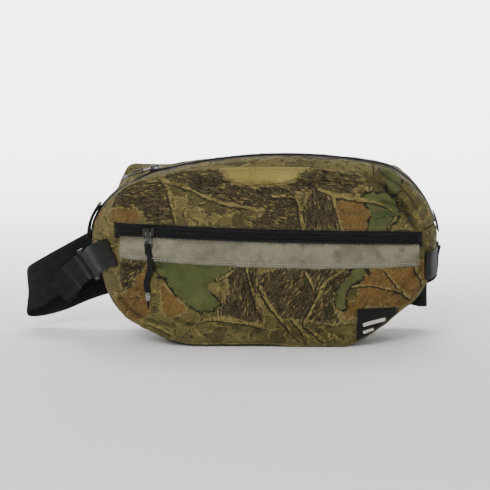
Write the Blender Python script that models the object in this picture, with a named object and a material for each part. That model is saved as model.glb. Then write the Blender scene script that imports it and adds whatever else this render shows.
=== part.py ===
"""Hip-style sling bag: camouflage fabric shell, two zips, side tabs and a buckled belt.

The shell is lofted between three outlines that share one centre: the front seam, the
crown line that the main zip follows, and the back seam. X runs along the bag, +Y points
to the wearer's side, and Z is up from the flat base. Lengths below are in millimetres
and are scaled to metres when a mesh is made.
"""

import math

import bmesh
import bpy
import numpy as np

MM = 0.001
GAP = 0.4  # air between neighbouring pieces

# Shell
CENTRE_Z = 95.0
FRONT_SEAM_Y = -42.0
BACK_SEAM_Y = 45.0
FABRIC = 2.0
GUSSET_POWER = 2.4
DOME = 16.0
DOME_POWER = 2.5
HALF_WIDTH = 166.0

# Main zip, an arc over the crown
CROWN_RADIUS = 527.0
CROWN_X = 20.0
CROWN_Z = 200.0
ARC_LEFT_X = -118.0
ARC_RIGHT_X = 125.0
ZIP_TAPE = 8.0
COIL_HALF = 2.2
MOUTH_LEFT_X = -104.0
MOUTH_RIGHT_X = 112.0
LEAN_SPAN = 30.0
TOP_SIDE_Z = 150.0

# Front pocket zip, an arc across the domed front
POCKET_ZIP_Z = 122.0
POCKET_ZIP_TILT = math.radians(1.7)
POCKET_SLIDER_X = -124.0
POCKET_TAPE = 7.0
POCKET_TAPE_LOW = 8.0
STRIP_TOP = 5.2
STRIP_WIDTH = 27.0

# Belt and buckle
BELT_WIDTH = 45.0
BELT_THICK = 2.4
TAB_WIDTH = 30.0
TAB_THICK = 1.5
BUCKLE_Y = 69.0
BUCKLE_Z = 60.0

FRONT_OUTLINE = [
    (0, 3.5), (82, 1), (143, 41), (163, 66), (165, 95), (164, 122), (159, 140), (150, 157),
    (135, 170.5), (100, 180.5), (60, 188.5), (20, 191), (-30, 190.5), (-70, 188.5),
    (-96, 186), (-122, 179.5), (-142, 173.5), (-155, 165), (-162, 148), (-161, 117),
    (-156, 89), (-158, 61), (-152, 36), (-125, 19.5), (-88, 5), (-45, 3.5),
]
MIDDLE_BASE = [
    (0, -3), (86, -3), (148, 36), (167, 60), (178, 86), (181, 110), (178, 130),
    (170, 150), (158, 167), (143, 180),
]
MIDDLE_LEFT = [
    (-145, 169.5), (-162, 158), (-176, 144), (-185, 126), (-186, 106), (-177, 80),
    (-169, 55), (-158.5, 36.5), (-127, 11.5), (-89, -2), (-45, -3),
]
BACK_OUTLINE = [
    (0, 3), (80, 3), (136, 36), (158, 64), (165, 100), (163, 128), (158, 150), (152, 168),
    (143, 179), (128, 182), (60, 182), (0, 182), (-60, 182), (-127, 182.5), (-146, 182.5),
    (-153, 174), (-161, 155), (-167, 128), (-169, 100), (-163, 70), (-152, 40),
    (-118, 20), (-86, 4), (-45, 3),
]

COLOURS = {
    "camo": ((0.16, 0.145, 0.085), 0.85, 0.0),
    "webbing": ((0.022, 0.022, 0.022), 0.75, 0.0),
    "zip_tape": ((0.015, 0.015, 0.017), 0.8, 0.0),
    "coil": ((0.02, 0.02, 0.022), 0.45, 0.0),
    "slider": ((0.03, 0.03, 0.03), 0.35, 0.8),
    "pull_tab": ((0.45, 0.45, 0.44), 0.3, 1.0),
    "cord": ((0.02, 0.02, 0.02), 0.8, 0.0),
    "bead": ((0.55, 0.56, 0.52), 0.2, 0.3),
    "reflective": ((0.36, 0.345, 0.29), 0.5, 0.2),
    "label": ((0.02, 0.02, 0.02), 0.7, 0.0),
    "lining": ((0.03, 0.03, 0.03), 0.8, 0.0),
    "mesh": ((0.03, 0.03, 0.03), 0.9, 0.0),
    "plastic": ((0.02, 0.02, 0.02), 0.4, 0.0),
}


def clear_scene():
    for obj in list(bpy.data.objects):
        bpy.data.objects.remove(obj, do_unlink=True)


def material(name):
    found = bpy.data.materials.get(name)
    if found:
        return found
    colour, roughness, metallic = COLOURS[name]
    made = bpy.data.materials.new(name)
    made.use_nodes = True
    shader = made.node_tree.nodes["Principled BSDF"]
    shader.inputs["Base Color"].default_value = (*colour, 1.0)
    shader.inputs["Roughness"].default_value = roughness
    shader.inputs["Metallic"].default_value = metallic
    made.diffuse_color = (*colour, 1.0)
    return made


def add_solid(name, points, faces, slot, axis=None):
    """One closed mesh object from points in millimetres, hung on its joint's empty."""
    mesh = bpy.data.meshes.new(name)
    mesh.from_pydata([tuple(p * MM) for p in np.asarray(points, float)], [], faces)
    shape = bmesh.new()
    shape.from_mesh(mesh)
    bmesh.ops.recalc_face_normals(shape, faces=shape.faces)
    shape.to_mesh(mesh)
    shape.free()
    mesh.shade_smooth()
    mesh.set_sharp_from_angle(angle=math.radians(35))
    mesh.materials.append(material(slot))
    obj = bpy.data.objects.new(name, mesh)
    bpy.context.scene.collection.objects.link(obj)
    if axis:
        obj.parent = axis
        obj.matrix_parent_inverse = axis.matrix_basis.inverted()
    return obj


def add_axis(name, place):
    """An empty on a joint's axis, the parent of the pieces that move about it."""
    empty = bpy.data.objects.new(name, None)
    empty.location = [value * MM for value in place]
    empty.empty_display_size = 0.01
    bpy.context.scene.collection.objects.link(empty)
    return empty


# Curves


def unit(vector):
    return np.asarray(vector, float) / np.linalg.norm(vector)


def catmull(points, steps, closed=False):
    """Points along a smooth curve through the given ones."""
    points = np.asarray(points, float)
    count = len(points)
    if closed:
        padded = np.vstack([points[-1], points, points[0], points[1]])
        spans = count
    else:
        first = 2 * points[0] - points[1]
        last = 2 * points[-1] - points[-2]
        padded = np.vstack([first, points, last])
        spans = count - 1
    found = []
    for span in range(spans):
        a, b, c, d = padded[span : span + 4]
        for step in range(steps):
            t = step / steps
            found.append(
                0.5 * (2 * b + (c - a) * t + (2 * a - 5 * b + 4 * c - d) * t**2
                       + (3 * b - a - 3 * c + d) * t**3)
            )
    if not closed:
        found.append(points[-1])
    return np.array(found)


def crown_z(x):
    """Height of the main zip's arc."""
    return CROWN_Z - CROWN_RADIUS + math.sqrt(CROWN_RADIUS**2 - (x - CROWN_X) ** 2)


def polar_table(outline):
    """Angles and radii of a closed outline about the shell's centre, for interpolation."""
    loop = catmull(outline, 16, closed=True)
    angles = np.arctan2(loop[:, 1] - CENTRE_Z, loop[:, 0])
    radii = np.hypot(loop[:, 0], loop[:, 1] - CENTRE_Z)
    order = np.argsort(angles)
    return angles[order], radii[order]


def radius_of(table, angle):
    return np.interp(angle, table[0], table[1], period=2 * math.pi)


CROWN_POINTS = [
    (x, crown_z(x)) for x in np.linspace(ARC_RIGHT_X, ARC_LEFT_X, 9)
]
FRONT = polar_table(FRONT_OUTLINE)
MIDDLE = polar_table(MIDDLE_BASE + CROWN_POINTS + MIDDLE_LEFT)
BACK = polar_table(BACK_OUTLINE)


def shell_point(angle, v, inset=0.0):
    """Point of the gusset: v is -1 on the front seam, 0 on the crown, 1 on the back."""
    seam = FRONT if v < 0 else BACK
    depth = -FRONT_SEAM_Y if v < 0 else BACK_SEAM_Y
    bulge = 1 - abs(v) ** GUSSET_POWER
    edge = radius_of(seam, angle)
    radius = edge + (radius_of(MIDDLE, angle) - edge) * bulge
    x = radius * math.cos(angle)
    z = max(CENTRE_Z + radius * math.sin(angle), 0.0)
    # Over the mouth the walls run straight down, so that its cut ends stay flat.
    past_mouth = (abs(x) - MOUTH_RIGHT_X - 1) / LEAN_SPAN
    lean = min(max(past_mouth, 0.0), 1.0) if z > TOP_SIDE_Z else 1.0
    inward = unit((-x * lean, CENTRE_Z - z))
    return np.array([x + inset * inward[0], v * depth, z + inset * inward[1]])


def angle_at_x(x, v):
    """The angle at which the gusset's upper side crosses a given x."""
    low, high = 0.2, math.pi - 0.2
    for _ in range(40):
        middle = (low + high) / 2
        if shell_point(middle, v)[0] > x:
            low = middle
        else:
            high = middle
    return (low + high) / 2


def angle_of(x, z):
    return math.atan2(z - CENTRE_Z, x)


# Builders


def sheet(name, outer, inner, slot, axis=None):
    """A closed skin between two matching grids of points."""
    rows, columns = outer.shape[:2]
    size = rows * columns
    points = np.vstack([outer.reshape(-1, 3), inner.reshape(-1, 3)])

    def at(row, column, side):
        return side * size + row * columns + column

    faces = []
    for row in range(rows - 1):
        for column in range(columns - 1):
            for side in (0, 1):
                quad = [
                    at(row, column, side), at(row + 1, column, side),
                    at(row + 1, column + 1, side), at(row, column + 1, side),
                ]
                faces.append(quad if side else quad[::-1])
    for row in range(rows - 1):
        for column in (0, columns - 1):
            faces.append([at(row, column, 0), at(row + 1, column, 0),
                          at(row + 1, column, 1), at(row, column, 1)])
    for column in range(columns - 1):
        for row in (0, rows - 1):
            faces.append([at(row, column, 0), at(row, column + 1, 0),
                          at(row, column + 1, 1), at(row, column, 1)])
    return add_solid(name, points, faces, slot, axis)


def gusset(name, start, end, v_range, grid, slot="camo", levels=(0.0, FABRIC), axis=None):
    """A strip of the shell. start and end give the end angle at each v."""
    outer = np.zeros((grid[0] + 1, grid[1] + 1, 3))
    inner = outer.copy()
    for j in range(grid[1] + 1):
        v = v_range[0] + (v_range[1] - v_range[0]) * j / grid[1]
        first, last = start(v), end(v)
        for i in range(grid[0] + 1):
            angle = first + (last - first) * i / grid[0]
            outer[i, j] = shell_point(angle, v, levels[0])
            inner[i, j] = shell_point(angle, v, levels[1])
    return sheet(name, outer, inner, slot, axis)


def box_union(name, boxes, holes, slot, place, axis=None):
    """The union of upright boxes less the holes, as one mesh, put into place."""
    cuts = [sorted({v for b in boxes + holes for v in (b[k], b[k + 1])}) for k in (0, 2, 4)]
    sizes = [len(c) - 1 for c in cuts]

    def inside(i, j, k):
        if not (0 <= i < sizes[0] and 0 <= j < sizes[1] and 0 <= k < sizes[2]):
            return False
        middle = [(cuts[n][c] + cuts[n][c + 1]) / 2 for n, c in enumerate((i, j, k))]

        def holds(b):
            return all(b[2 * n] < middle[n] < b[2 * n + 1] for n in range(3))

        return any(map(holds, boxes)) and not any(map(holds, holes))

    points, index, faces = [], {}, []

    def corner(*key):
        if key not in index:
            index[key] = len(points)
            points.append([cuts[n][c] for n, c in enumerate(key)])
        return index[key]

    for i in range(sizes[0]):
        for j in range(sizes[1]):
            for k in range(sizes[2]):
                if not inside(i, j, k):
                    continue
                for n in range(3):
                    for side in (0, 1):
                        step = [0, 0, 0]
                        step[n] = 2 * side - 1
                        if inside(i + step[0], j + step[1], k + step[2]):
                            continue
                        base = [i, j, k]
                        base[n] += side
                        p, q = (n + 1) % 3, (n + 2) % 3
                        ring = []
                        for dp, dq in ((0, 0), (1, 0), (1, 1), (0, 1)):
                            key = list(base)
                            key[p] += dp
                            key[q] += dq
                            ring.append(corner(*key))
                        faces.append(ring)
    return add_solid(name, place(np.array(points, float)), faces, slot, axis)


def frame_at(origin, along, across):
    """A function that puts local points (along, across, out) into the bag's frame."""
    x = unit(along)
    y = unit(np.asarray(across, float) - np.dot(across, x) * x)
    z = np.cross(x, y)
    return lambda points: np.asarray(points, float) @ np.array([x, y, z]) + origin


def ribbon(name, path, across, width, thick, slot, axis=None):
    """Flat webbing swept along a path; across is its width direction at each point."""
    path = np.asarray(path, float)
    across = np.broadcast_to(np.asarray(across, float), path.shape)
    tangents = np.gradient(path, axis=0)
    points, faces = [], []
    for centre, tangent, side in zip(path, tangents, across):
        forward = unit(tangent)
        side = unit(side - np.dot(side, forward) * forward)
        up = np.cross(forward, side)
        for s, u in ((-1, -1), (1, -1), (1, 1), (-1, 1)):
            points.append(centre + s * side * width / 2 + u * up * thick / 2)
    for ring in range(len(path) - 1):
        for k in range(4):
            a, b = 4 * ring + k, 4 * ring + (k + 1) % 4
            faces.append([a, b, b + 4, a + 4])
    faces.append([0, 1, 2, 3])
    faces.append([len(points) - 4 + k for k in range(4)])
    return add_solid(name, points, faces, slot, axis)


def loop_path(radius, runout, tail, half_turns=8, dip=0.0):
    """Local (along, out) points of webbing that wraps a bar at the origin: the long
    side arrives on the outside, the sewn tail goes back underneath."""
    turn = [
        (radius * math.sin(math.pi * k / half_turns), radius * math.cos(math.pi * k / half_turns))
        for k in range(half_turns + 1)
    ]
    arriving = [(-runout * (1 - k / 2), radius) for k in range(2)]
    leaving = [(-tail * k / 2, -radius + dip * k / 2) for k in (1, 2)]
    return np.array(arriving + turn + leaving)


# Front panels and pocket zip


FRONT_LOOP = catmull(FRONT_OUTLINE, 16, closed=True)
POCKET_RADIUS = (HALF_WIDTH**2 + DOME**2) / (2 * DOME)
FRONT_Y = FRONT_SEAM_Y - 4.4
FRONT_COLUMNS = 27
ZIP_LEVELS = (-0.9, 0.0)  # how far a zip's tape stands in from the front's surface
COIL_LEVELS = (-0.6, 1.7)


def pocket_zip_z(x):
    return POCKET_ZIP_Z - x * math.tan(POCKET_ZIP_TILT)


def dome_depth(x):
    """How far the front stands out along the pocket zip: a circular arc."""
    span = min(abs(x), HALF_WIDTH)
    return math.sqrt(POCKET_RADIUS**2 - span**2) - (POCKET_RADIUS - DOME)


def outline_z(x, above):
    """Height of the front outline's top or bottom side at x."""
    keep = FRONT_LOOP[(FRONT_LOOP[:, 1] > POCKET_ZIP_Z) == above]
    keep = keep[np.argsort(keep[:, 0])]
    return float(np.interp(x, keep[:, 0], keep[:, 1]))


def front_y(x, z):
    """The domed front surface."""
    middle = pocket_zip_z(x)
    reach = outline_z(x, z > middle) - middle
    share = min(abs((z - middle) / reach), 1.0) if abs(reach) > 1 else 1.0
    return FRONT_Y - dome_depth(x) * (1 - share**DOME_POWER)


def on_front(x, z, out=0.0):
    return np.array([x, front_y(x, z) - out, z])


def outline_between(start, end, count):
    """Points along the front outline between two angles, seen from the centre."""
    found = []
    for angle in np.linspace(start, end, count):
        radius = radius_of(FRONT, angle) - GAP
        found.append((radius * math.cos(angle), max(CENTRE_Z + radius * math.sin(angle), GAP)))
    return np.array(found)


def coons(bottom, top, left, right):
    """Grid of (x, z) points blended from four border curves."""
    nu, nv = len(bottom), len(left)
    grid = np.zeros((nu, nv, 2))
    for i in range(nu):
        s = i / (nu - 1)
        for j in range(nv):
            t = j / (nv - 1)
            grid[i, j] = (
                (1 - t) * bottom[i] + t * top[i] + (1 - s) * left[j] + s * right[j]
                - (1 - s) * (1 - t) * bottom[0] - s * (1 - t) * bottom[-1]
                - (1 - s) * t * top[0] - s * t * top[-1]
            )
    return grid


def front_sheet(name, grid, slot, out=0.0, thick=FABRIC):
    outer = np.zeros((*grid.shape[:2], 3))
    for i in range(grid.shape[0]):
        for j in range(grid.shape[1]):
            outer[i, j] = on_front(*grid[i, j], out)
    return sheet(name, outer, outer + (0, thick, 0), slot)


def side_angles(offset):
    """Angles where a line parallel to the pocket zip meets the outline, left and right."""
    z_left = pocket_zip_z(-162) + offset
    z_right = pocket_zip_z(164) + offset
    return angle_of(-161, z_left), angle_of(164.5, z_right)


def front_panel(name, offset, corner_left, corner_right, rows):
    """One of the two camouflage panels, above or below the pocket zip."""
    turn = 0.0 if offset > 0 else 2 * math.pi
    left_angle, right_angle = side_angles(offset)
    left = outline_between(left_angle % (2 * math.pi), corner_left, rows)
    right = outline_between(right_angle, corner_right, rows)
    far = outline_between(corner_left, corner_right + turn, FRONT_COLUMNS)
    xs = np.linspace(left[0][0], right[0][0], FRONT_COLUMNS)
    near = np.array([(x, pocket_zip_z(x) + offset) for x in xs])
    near[0], near[-1] = left[0], right[0]
    front_sheet(name, coons(near, far, left, right), "camo")


def zip_band(name, low, high, levels, slot, inset=1.5):
    """A band along the pocket zip, between two offsets from its middle line."""
    left, right = -160.5 + inset, 163.0 - inset
    outer = np.zeros((FRONT_COLUMNS, 2, 3))
    for i, x in enumerate(np.linspace(left, right, FRONT_COLUMNS)):
        for j, offset in enumerate((low, high)):
            y = FRONT_Y - dome_depth(x)
            outer[i, j] = (x, y - levels[1], pocket_zip_z(x) + offset)
    sheet(name, outer, outer + (0, levels[1] - levels[0], 0), slot)


def strip_bottom(x):
    return -STRIP_TOP - STRIP_WIDTH + 4 * (x / HALF_WIDTH) ** 2


def reflective_strip():
    rows = 5
    grid = np.zeros((FRONT_COLUMNS, rows, 2))
    for i, x in enumerate(np.linspace(-154.5, 160.0, FRONT_COLUMNS)):
        for j in range(rows):
            offset = -STRIP_TOP + (strip_bottom(x) + STRIP_TOP) * j / (rows - 1)
            grid[i, j] = (x, pocket_zip_z(x) + offset)
    front_sheet("reflective_strip", grid, "reflective", out=1.4, thick=1.0)


def label_patch():
    """Woven square patch whose lower right half ends in the chamfered corner seam."""
    left, top, size = 95.0, 44.5, 42.0
    steps, seam_margin, least_height = 9, 3.0, 1.5
    grid = np.zeros((steps, steps, 2))
    for i in range(steps):
        x = left + size * i / (steps - 1)
        low = outline_z(x, False) + seam_margin
        height = max(top - low, least_height)
        for j in range(steps):
            grid[i, j] = (x, low + height * j / (steps - 1))
    front_sheet("label_patch", grid, "label", out=1.2, thick=0.8)


def pocket_divider():
    """Flat lining sheet that closes the pocket's back and the main space's front."""
    outline = [
        (p[0] * 0.993, CENTRE_Z + (p[1] - CENTRE_Z) * 0.99)
        for p in catmull(FRONT_OUTLINE, 2, closed=True)
    ]
    count = len(outline)
    points = [(x, y, z) for y in (-44.0 + GAP, -42.0 - GAP) for x, z in outline]
    faces = [list(range(count)), list(range(2 * count - 1, count - 1, -1))]
    for k in range(count):
        after = (k + 1) % count
        faces.append([k, after, after + count, k + count])
    add_solid("pocket_divider", np.array(points), faces, "lining")


def build_front():
    front_panel("front_panel_upper", POCKET_TAPE + GAP, angle_of(-150, 169), angle_of(141, 166), 7)
    corner_left = angle_of(-150, 38) + 2 * math.pi
    front_panel("front_panel_lower", -POCKET_TAPE_LOW - GAP, corner_left, angle_of(150, 48), 8)
    edge = COIL_HALF + GAP
    zip_band("pocket_zip_tape_upper", edge, POCKET_TAPE, ZIP_LEVELS, "zip_tape")
    zip_band("pocket_zip_tape_lower", -POCKET_TAPE_LOW, -edge, ZIP_LEVELS, "zip_tape")
    zip_band("pocket_zip_coil", -COIL_HALF, COIL_HALF, COIL_LEVELS, "coil", inset=6)
    reflective_strip()
    label_patch()
    pocket_divider()


# Gussets and main zip


ZIP_LEFT_END = angle_of(-187, 112)
ZIP_RIGHT_END = angle_of(178, 128)
BASE_LEFT = angle_of(-150, 30) + 2 * math.pi
BASE_RIGHT = angle_of(152, 40) + 2 * math.pi
FRONT_V = ZIP_TAPE / -FRONT_SEAM_Y
BACK_V = ZIP_TAPE / BACK_SEAM_Y
CLEAR = math.radians(0.15)
TAPE_DEPTHS = (0.3, 1.2)  # outer and inner face, in from the gusset's surface
COIL_DEPTHS = (-1.4, 0.9)
FRONT_EDGE = -0.1 / 42  # where the front coil meets the back one, just off the middle
BACK_EDGE = 0.3 / 45
FRONT_GAP = GAP / -FRONT_SEAM_Y
BACK_GAP = GAP / BACK_SEAM_Y
COIL_V = COIL_HALF / -FRONT_SEAM_Y


def at_angle(angle):
    return lambda v: angle


def at_x(x):
    return lambda v: angle_at_x(x, v)


def build_gussets():
    strip = (-1.0, -FRONT_V - FRONT_GAP)
    left_end, right_end = at_angle(ZIP_LEFT_END - CLEAR), at_angle(ZIP_RIGHT_END + CLEAR)
    gusset("top_corner_left", at_x(MOUTH_LEFT_X - GAP), left_end, strip, (12, 4))
    gusset("top_corner_right", right_end, at_x(MOUTH_RIGHT_X + GAP), strip, (9, 4))
    gusset("top_gusset_back", right_end, left_end, (BACK_V + FRONT_GAP, 1.0), (40, 4))
    gusset("left_gusset", at_angle(ZIP_LEFT_END + CLEAR), at_angle(BASE_LEFT - CLEAR), (-1, 1), (8, 10))
    gusset("right_gusset", at_angle(BASE_RIGHT - 2 * math.pi + CLEAR), at_angle(ZIP_RIGHT_END - CLEAR),
           (-1, 1), (8, 10))
    gusset("bottom_gusset", at_angle(BASE_LEFT + CLEAR), at_angle(BASE_RIGHT - CLEAR), (-1, 1), (20, 10))


def front_zip_half(end_name, start, end, steps, axis=None):
    """Tape and coil on the front side of one stretch of the main zip."""
    gusset(f"main_zip_tape_{end_name}", start, end, (-FRONT_V, -COIL_V - FRONT_GAP), (steps, 1), "zip_tape",
           TAPE_DEPTHS, axis)
    gusset(f"main_zip_coil_{end_name}", start, end, (-COIL_V, FRONT_EDGE), (steps, 1), "coil", COIL_DEPTHS,
           axis)


def build_mouth(axis):
    ends = (at_x(MOUTH_RIGHT_X), at_x(MOUTH_LEFT_X))
    gusset("mouth_flap", *ends, (-1.0, -FRONT_V - FRONT_GAP), (18, 4), axis=axis)
    front_zip_half("front", *ends, 18, axis)


def build_main_zip():
    coil_back = COIL_HALF / BACK_SEAM_Y
    whole = (at_angle(ZIP_RIGHT_END + CLEAR), at_angle(ZIP_LEFT_END - CLEAR))
    gusset("main_zip_tape_back", *whole, (coil_back + BACK_GAP, BACK_V), (40, 1), "zip_tape", TAPE_DEPTHS)
    gusset("main_zip_coil_back", *whole, (BACK_EDGE, coil_back), (40, 1), "coil", COIL_DEPTHS)
    front_zip_half("left_end", at_x(MOUTH_LEFT_X - GAP), whole[1], 12)
    front_zip_half("right_end", whole[0], at_x(MOUTH_RIGHT_X + GAP), 9)
    garages = {
        "left": ((-177, 147), (-187, 112), (5, 3), -5.4),
        "right": ((180, 118), (175, 138), (3, 3), -3.2),
    }
    for side, (first, last, grid, top) in garages.items():
        gusset(f"main_zip_garage_{side}", at_angle(angle_of(*first)), at_angle(angle_of(*last)),
               (-0.3, 0.28), grid, "webbing", (top, -1.9))


def zip_slider(prefix, place, body_axis, crown_along):
    """Zip slider in a frame of along, across and out of the zip. Its crown, the arch that
    holds the pull, runs the way the pull hangs."""
    plate = (-6, 6, -4.6, 4.6, 2.2, 3.4)
    flanges = [(-6, 6, s * 3.8 - 0.8, s * 3.8 + 0.8, 0.5, 2.2) for s in (-1, 1)]
    foot, bar, tail = (3.4, 4.6, 3.4, 6.8), (-4.4, 4.6, 5.6, 6.8), (-4.4, -3.2, 3.9, 6.8)
    crown = [
        (a, b, -1.4, 1.4, low, high) if crown_along else (-1.4, 1.4, a, b, low, high)
        for a, b, low, high in (foot, bar, tail)
    ]
    box_union(f"{prefix}_slider", [plate, *flanges, *crown], [], "slider", place, body_axis)


def build_zip_pull(prefix, place, ribbon_path, pull_axis, cord_axis, width):
    """Pull tab hung on the slider's crown, with a ribbon looped through its far end."""
    frame = [(-0.7, 10.4, -3.2, 3.2, 3.9, 5.1), (10.4, 15.6, -4.3, 4.3, 3.9, 5.1)]
    holes = [(0.1, 5.2, -1.8, 1.8, 3, 6), (11.6, 14.4, -3.4, 3.4, 3, 6)]
    box_union(f"{prefix}_pull_tab", frame, holes, "pull_tab", place, pull_axis)
    ribbon(f"{prefix}_pull_cord", ribbon_path, place([[0, 1, 0]])[0] - place([[0, 0, 0]])[0],
           width, 1.2, "cord", cord_axis)


def build_bead(prefix, centre, along, size, axis):
    """Clear moulded bead at the foot of a pull: a turned barrel."""
    profile = [(0.0, 0.0), (0.6, 0.0), (1.0, 0.18), (1.0, 0.82), (0.6, 1.0), (0.0, 1.0)]
    side = unit(np.cross(along, (0.3, 1.0, 0.2)))
    up = np.cross(unit(along), side)
    sides = 10
    points, faces = [], []
    for radius, height in profile[1:-1]:
        for k in range(sides):
            turn = 2 * math.pi * k / sides
            spoke = math.cos(turn) * side + math.sin(turn) * up
            points.append(np.asarray(centre) + unit(along) * height * size[1] + spoke * radius * size[0])
    for ring in range(3):
        for k in range(sides):
            a, b = ring * sides + k, ring * sides + (k + 1) % sides
            faces.append([a, b, b + sides, a + sides])
    faces.append(list(range(sides)))
    faces.append([3 * sides + k for k in range(sides)])
    add_solid(f"{prefix}_pull_bead", points, faces, "bead", axis)


def build_pocket_pull():
    x = POCKET_SLIDER_X
    place_y = FRONT_Y - dome_depth(x)
    centre = np.array([x, place_y, pocket_zip_z(x)])
    slope = x / (POCKET_RADIUS - DOME + dome_depth(x))
    along = np.array([1.0, slope, -math.tan(POCKET_ZIP_TILT)])
    across = np.array([math.sin(POCKET_ZIP_TILT), 0.0, math.cos(POCKET_ZIP_TILT)])
    hub = add_axis("pocket_zip_centre", (0, FRONT_Y - DOME + POCKET_RADIUS, POCKET_ZIP_Z))
    zip_slider("pocket_zip", frame_at(centre, along, across), hub, False)
    out = np.cross(unit(along), unit(across))
    pivot = centre + out * 4.5
    hinge = add_axis("pocket_pull_pivot", pivot)
    hang = frame_at(pivot - out * 4.5, (0, 0, -1), unit(along))
    tip = pivot - np.array([0, 0, 15.0])
    cord_axis = add_axis("pocket_cord_pivot", tip)
    local = [(23.0, 6.1), (18.0, 6.1), (15.6, 6.3), (13.6, 6.1), (12.9, 4.5), (13.6, 2.9),
             (15.6, 2.7), (19.0, 3.6), (30.0, 4.5), (42.0, 4.5), (54.0, 4.5), (63.0, 4.5)]
    path = hang([(a, 0, o) for a, o in local])
    build_zip_pull("pocket_zip", hang, path, hinge, cord_axis, 6.0)
    build_bead("pocket_zip", hang([[63.4, 0, 4.5]])[0], (0, 0, -1), (3.2, 9.0), cord_axis)


def build_main_pull():
    x = ARC_LEFT_X
    theta = math.asin((x - CROWN_X) / CROWN_RADIUS)
    along = np.array([math.cos(theta), 0.0, -math.sin(theta)])
    centre = np.array([x, 0.0, crown_z(x)])
    hub = add_axis("main_zip_centre", (CROWN_X, 0, CROWN_Z - CROWN_RADIUS))
    zip_slider("main_zip", frame_at(centre, along, (0, 1, 0)), hub, True)
    out = np.cross(unit(along), (0, 1, 0))
    pivot = centre + out * 4.5
    hinge = add_axis("main_pull_pivot", pivot)
    place = frame_at(centre, -along, (0, -1, 0))
    loop = [(22.0, 6.1), (18.0, 6.1), (15.6, 6.3), (13.6, 6.1), (12.9, 4.5), (13.6, 2.9),
            (15.6, 2.7), (19.0, 3.1), (23.0, 3.2), (27.0, 3.1), (30.0, 2.9)]
    path = place([(a, 0, o) for a, o in loop])
    cord_axis = add_axis("main_cord_pivot", place([[15.0, 0, 4.5]])[0])
    build_zip_pull("main_zip", place, path, hinge, cord_axis, 6.0)
    along_end = path[-1] - path[-2]
    build_bead("main_zip", path[-1] + unit(along_end) * GAP, along_end, (2.2, 6.0), cord_axis)


# Back, tabs, belt and buckle


def build_back():
    """Back panel, domed a little towards its pad and open on the inside."""
    loop = catmull(BACK_OUTLINE, 2, closed=True)
    seam_y = BACK_SEAM_Y + GAP
    rings = [(1.0, seam_y), (1.0, 47.4), (0.75, 48.8), (0.45, 49.2)]
    inner = [(0.45, 47.2), (0.75, 46.8), (0.97, seam_y)]
    count = len(loop)
    points, faces = [], []
    for scale, y in rings + inner:
        for x, z in loop:
            points.append((x * scale, y, CENTRE_Z + (max(z, 0.2) - CENTRE_Z) * scale))
    bands = len(rings) + len(inner)
    for band in range(bands):
        if band == len(rings) - 1:
            continue
        after = (band + 1) % bands
        for k in range(count):
            j = (k + 1) % count
            faces.append([band * count + k, band * count + j, after * count + j, after * count + k])
    faces.append([3 * count + k for k in range(count)])
    faces.append([4 * count + k for k in range(count - 1, -1, -1)])
    add_solid("back_panel", points, faces, "camo")


def build_back_pad():
    """Foam back pad under air mesh, flat where it meets the wearer."""
    half_x, half_z, centre_z, corner = 118.0, 62.0, 98.0, 18.0
    outline = []
    for cx, cz, start in ((1, 1, 0), (-1, 1, 90), (-1, -1, 180), (1, -1, 270)):
        for k in range(4):
            turn = math.radians(start + 30 * k)
            outline.append((cx * (half_x - corner) + corner * math.cos(turn),
                            centre_z + cz * (half_z - corner) + corner * math.sin(turn)))
    count = len(outline)
    rings = [(1.0, 49.6), (1.0, 52.5), (0.95, 55.6)]
    points = [(x * s, y, centre_z + (z - centre_z) * s) for s, y in rings for x, z in outline]
    faces = [list(range(count)), [2 * count + k for k in range(count)]]
    for ring in range(2):
        for k in range(count):
            a, b = ring * count + k, ring * count + (k + 1) % count
            faces.append([a, b, b + count, a + count])
    add_solid("back_pad", points, faces, "mesh")


SIDE_TABS = {
    "left": {
        "root": [(-163.4, -44.4, 103), (-171, -38, 99.5), (-180.5, -26, 93), (-185.5, -10, 87)],
        "ring": (-191.0, 12.0, 79.0),
        "bar": (-0.55, 0.0, 0.84),
        "run": (-0.42, 0.85, -0.30),
        "strap": [(-209, 30, 64), (-213.5, 38.5, 57), (-219.5, 42.6, 48), (-227, 42.6, 40)],
        "lean": (-0.3, 0.0, 0.95),
        "end_lean": (-0.64, 0.0, 0.77),
    },
    "right": {
        "root": [(167.6, -44.2, 87), (173.5, -36, 87), (179, -20, 86.5), (181.6, -4, 86), (181.6, 10, 85.5)],
        "ring": (181.8, 29.0, 84.5),
        "bar": (0.05, 0.0, 1.0),
        "run": (0.02, 1.0, -0.08),
        "strap": [(185.5, 50, 79), (183.5, 60, 72), (175, 67.2, 63), (160, 67.9, 56), (146, 68, 52)],
        "lean": (0.0, 0.0, 1.0),
        "end_lean": (0.1, 0.0, 1.0),
    },
}


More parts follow.
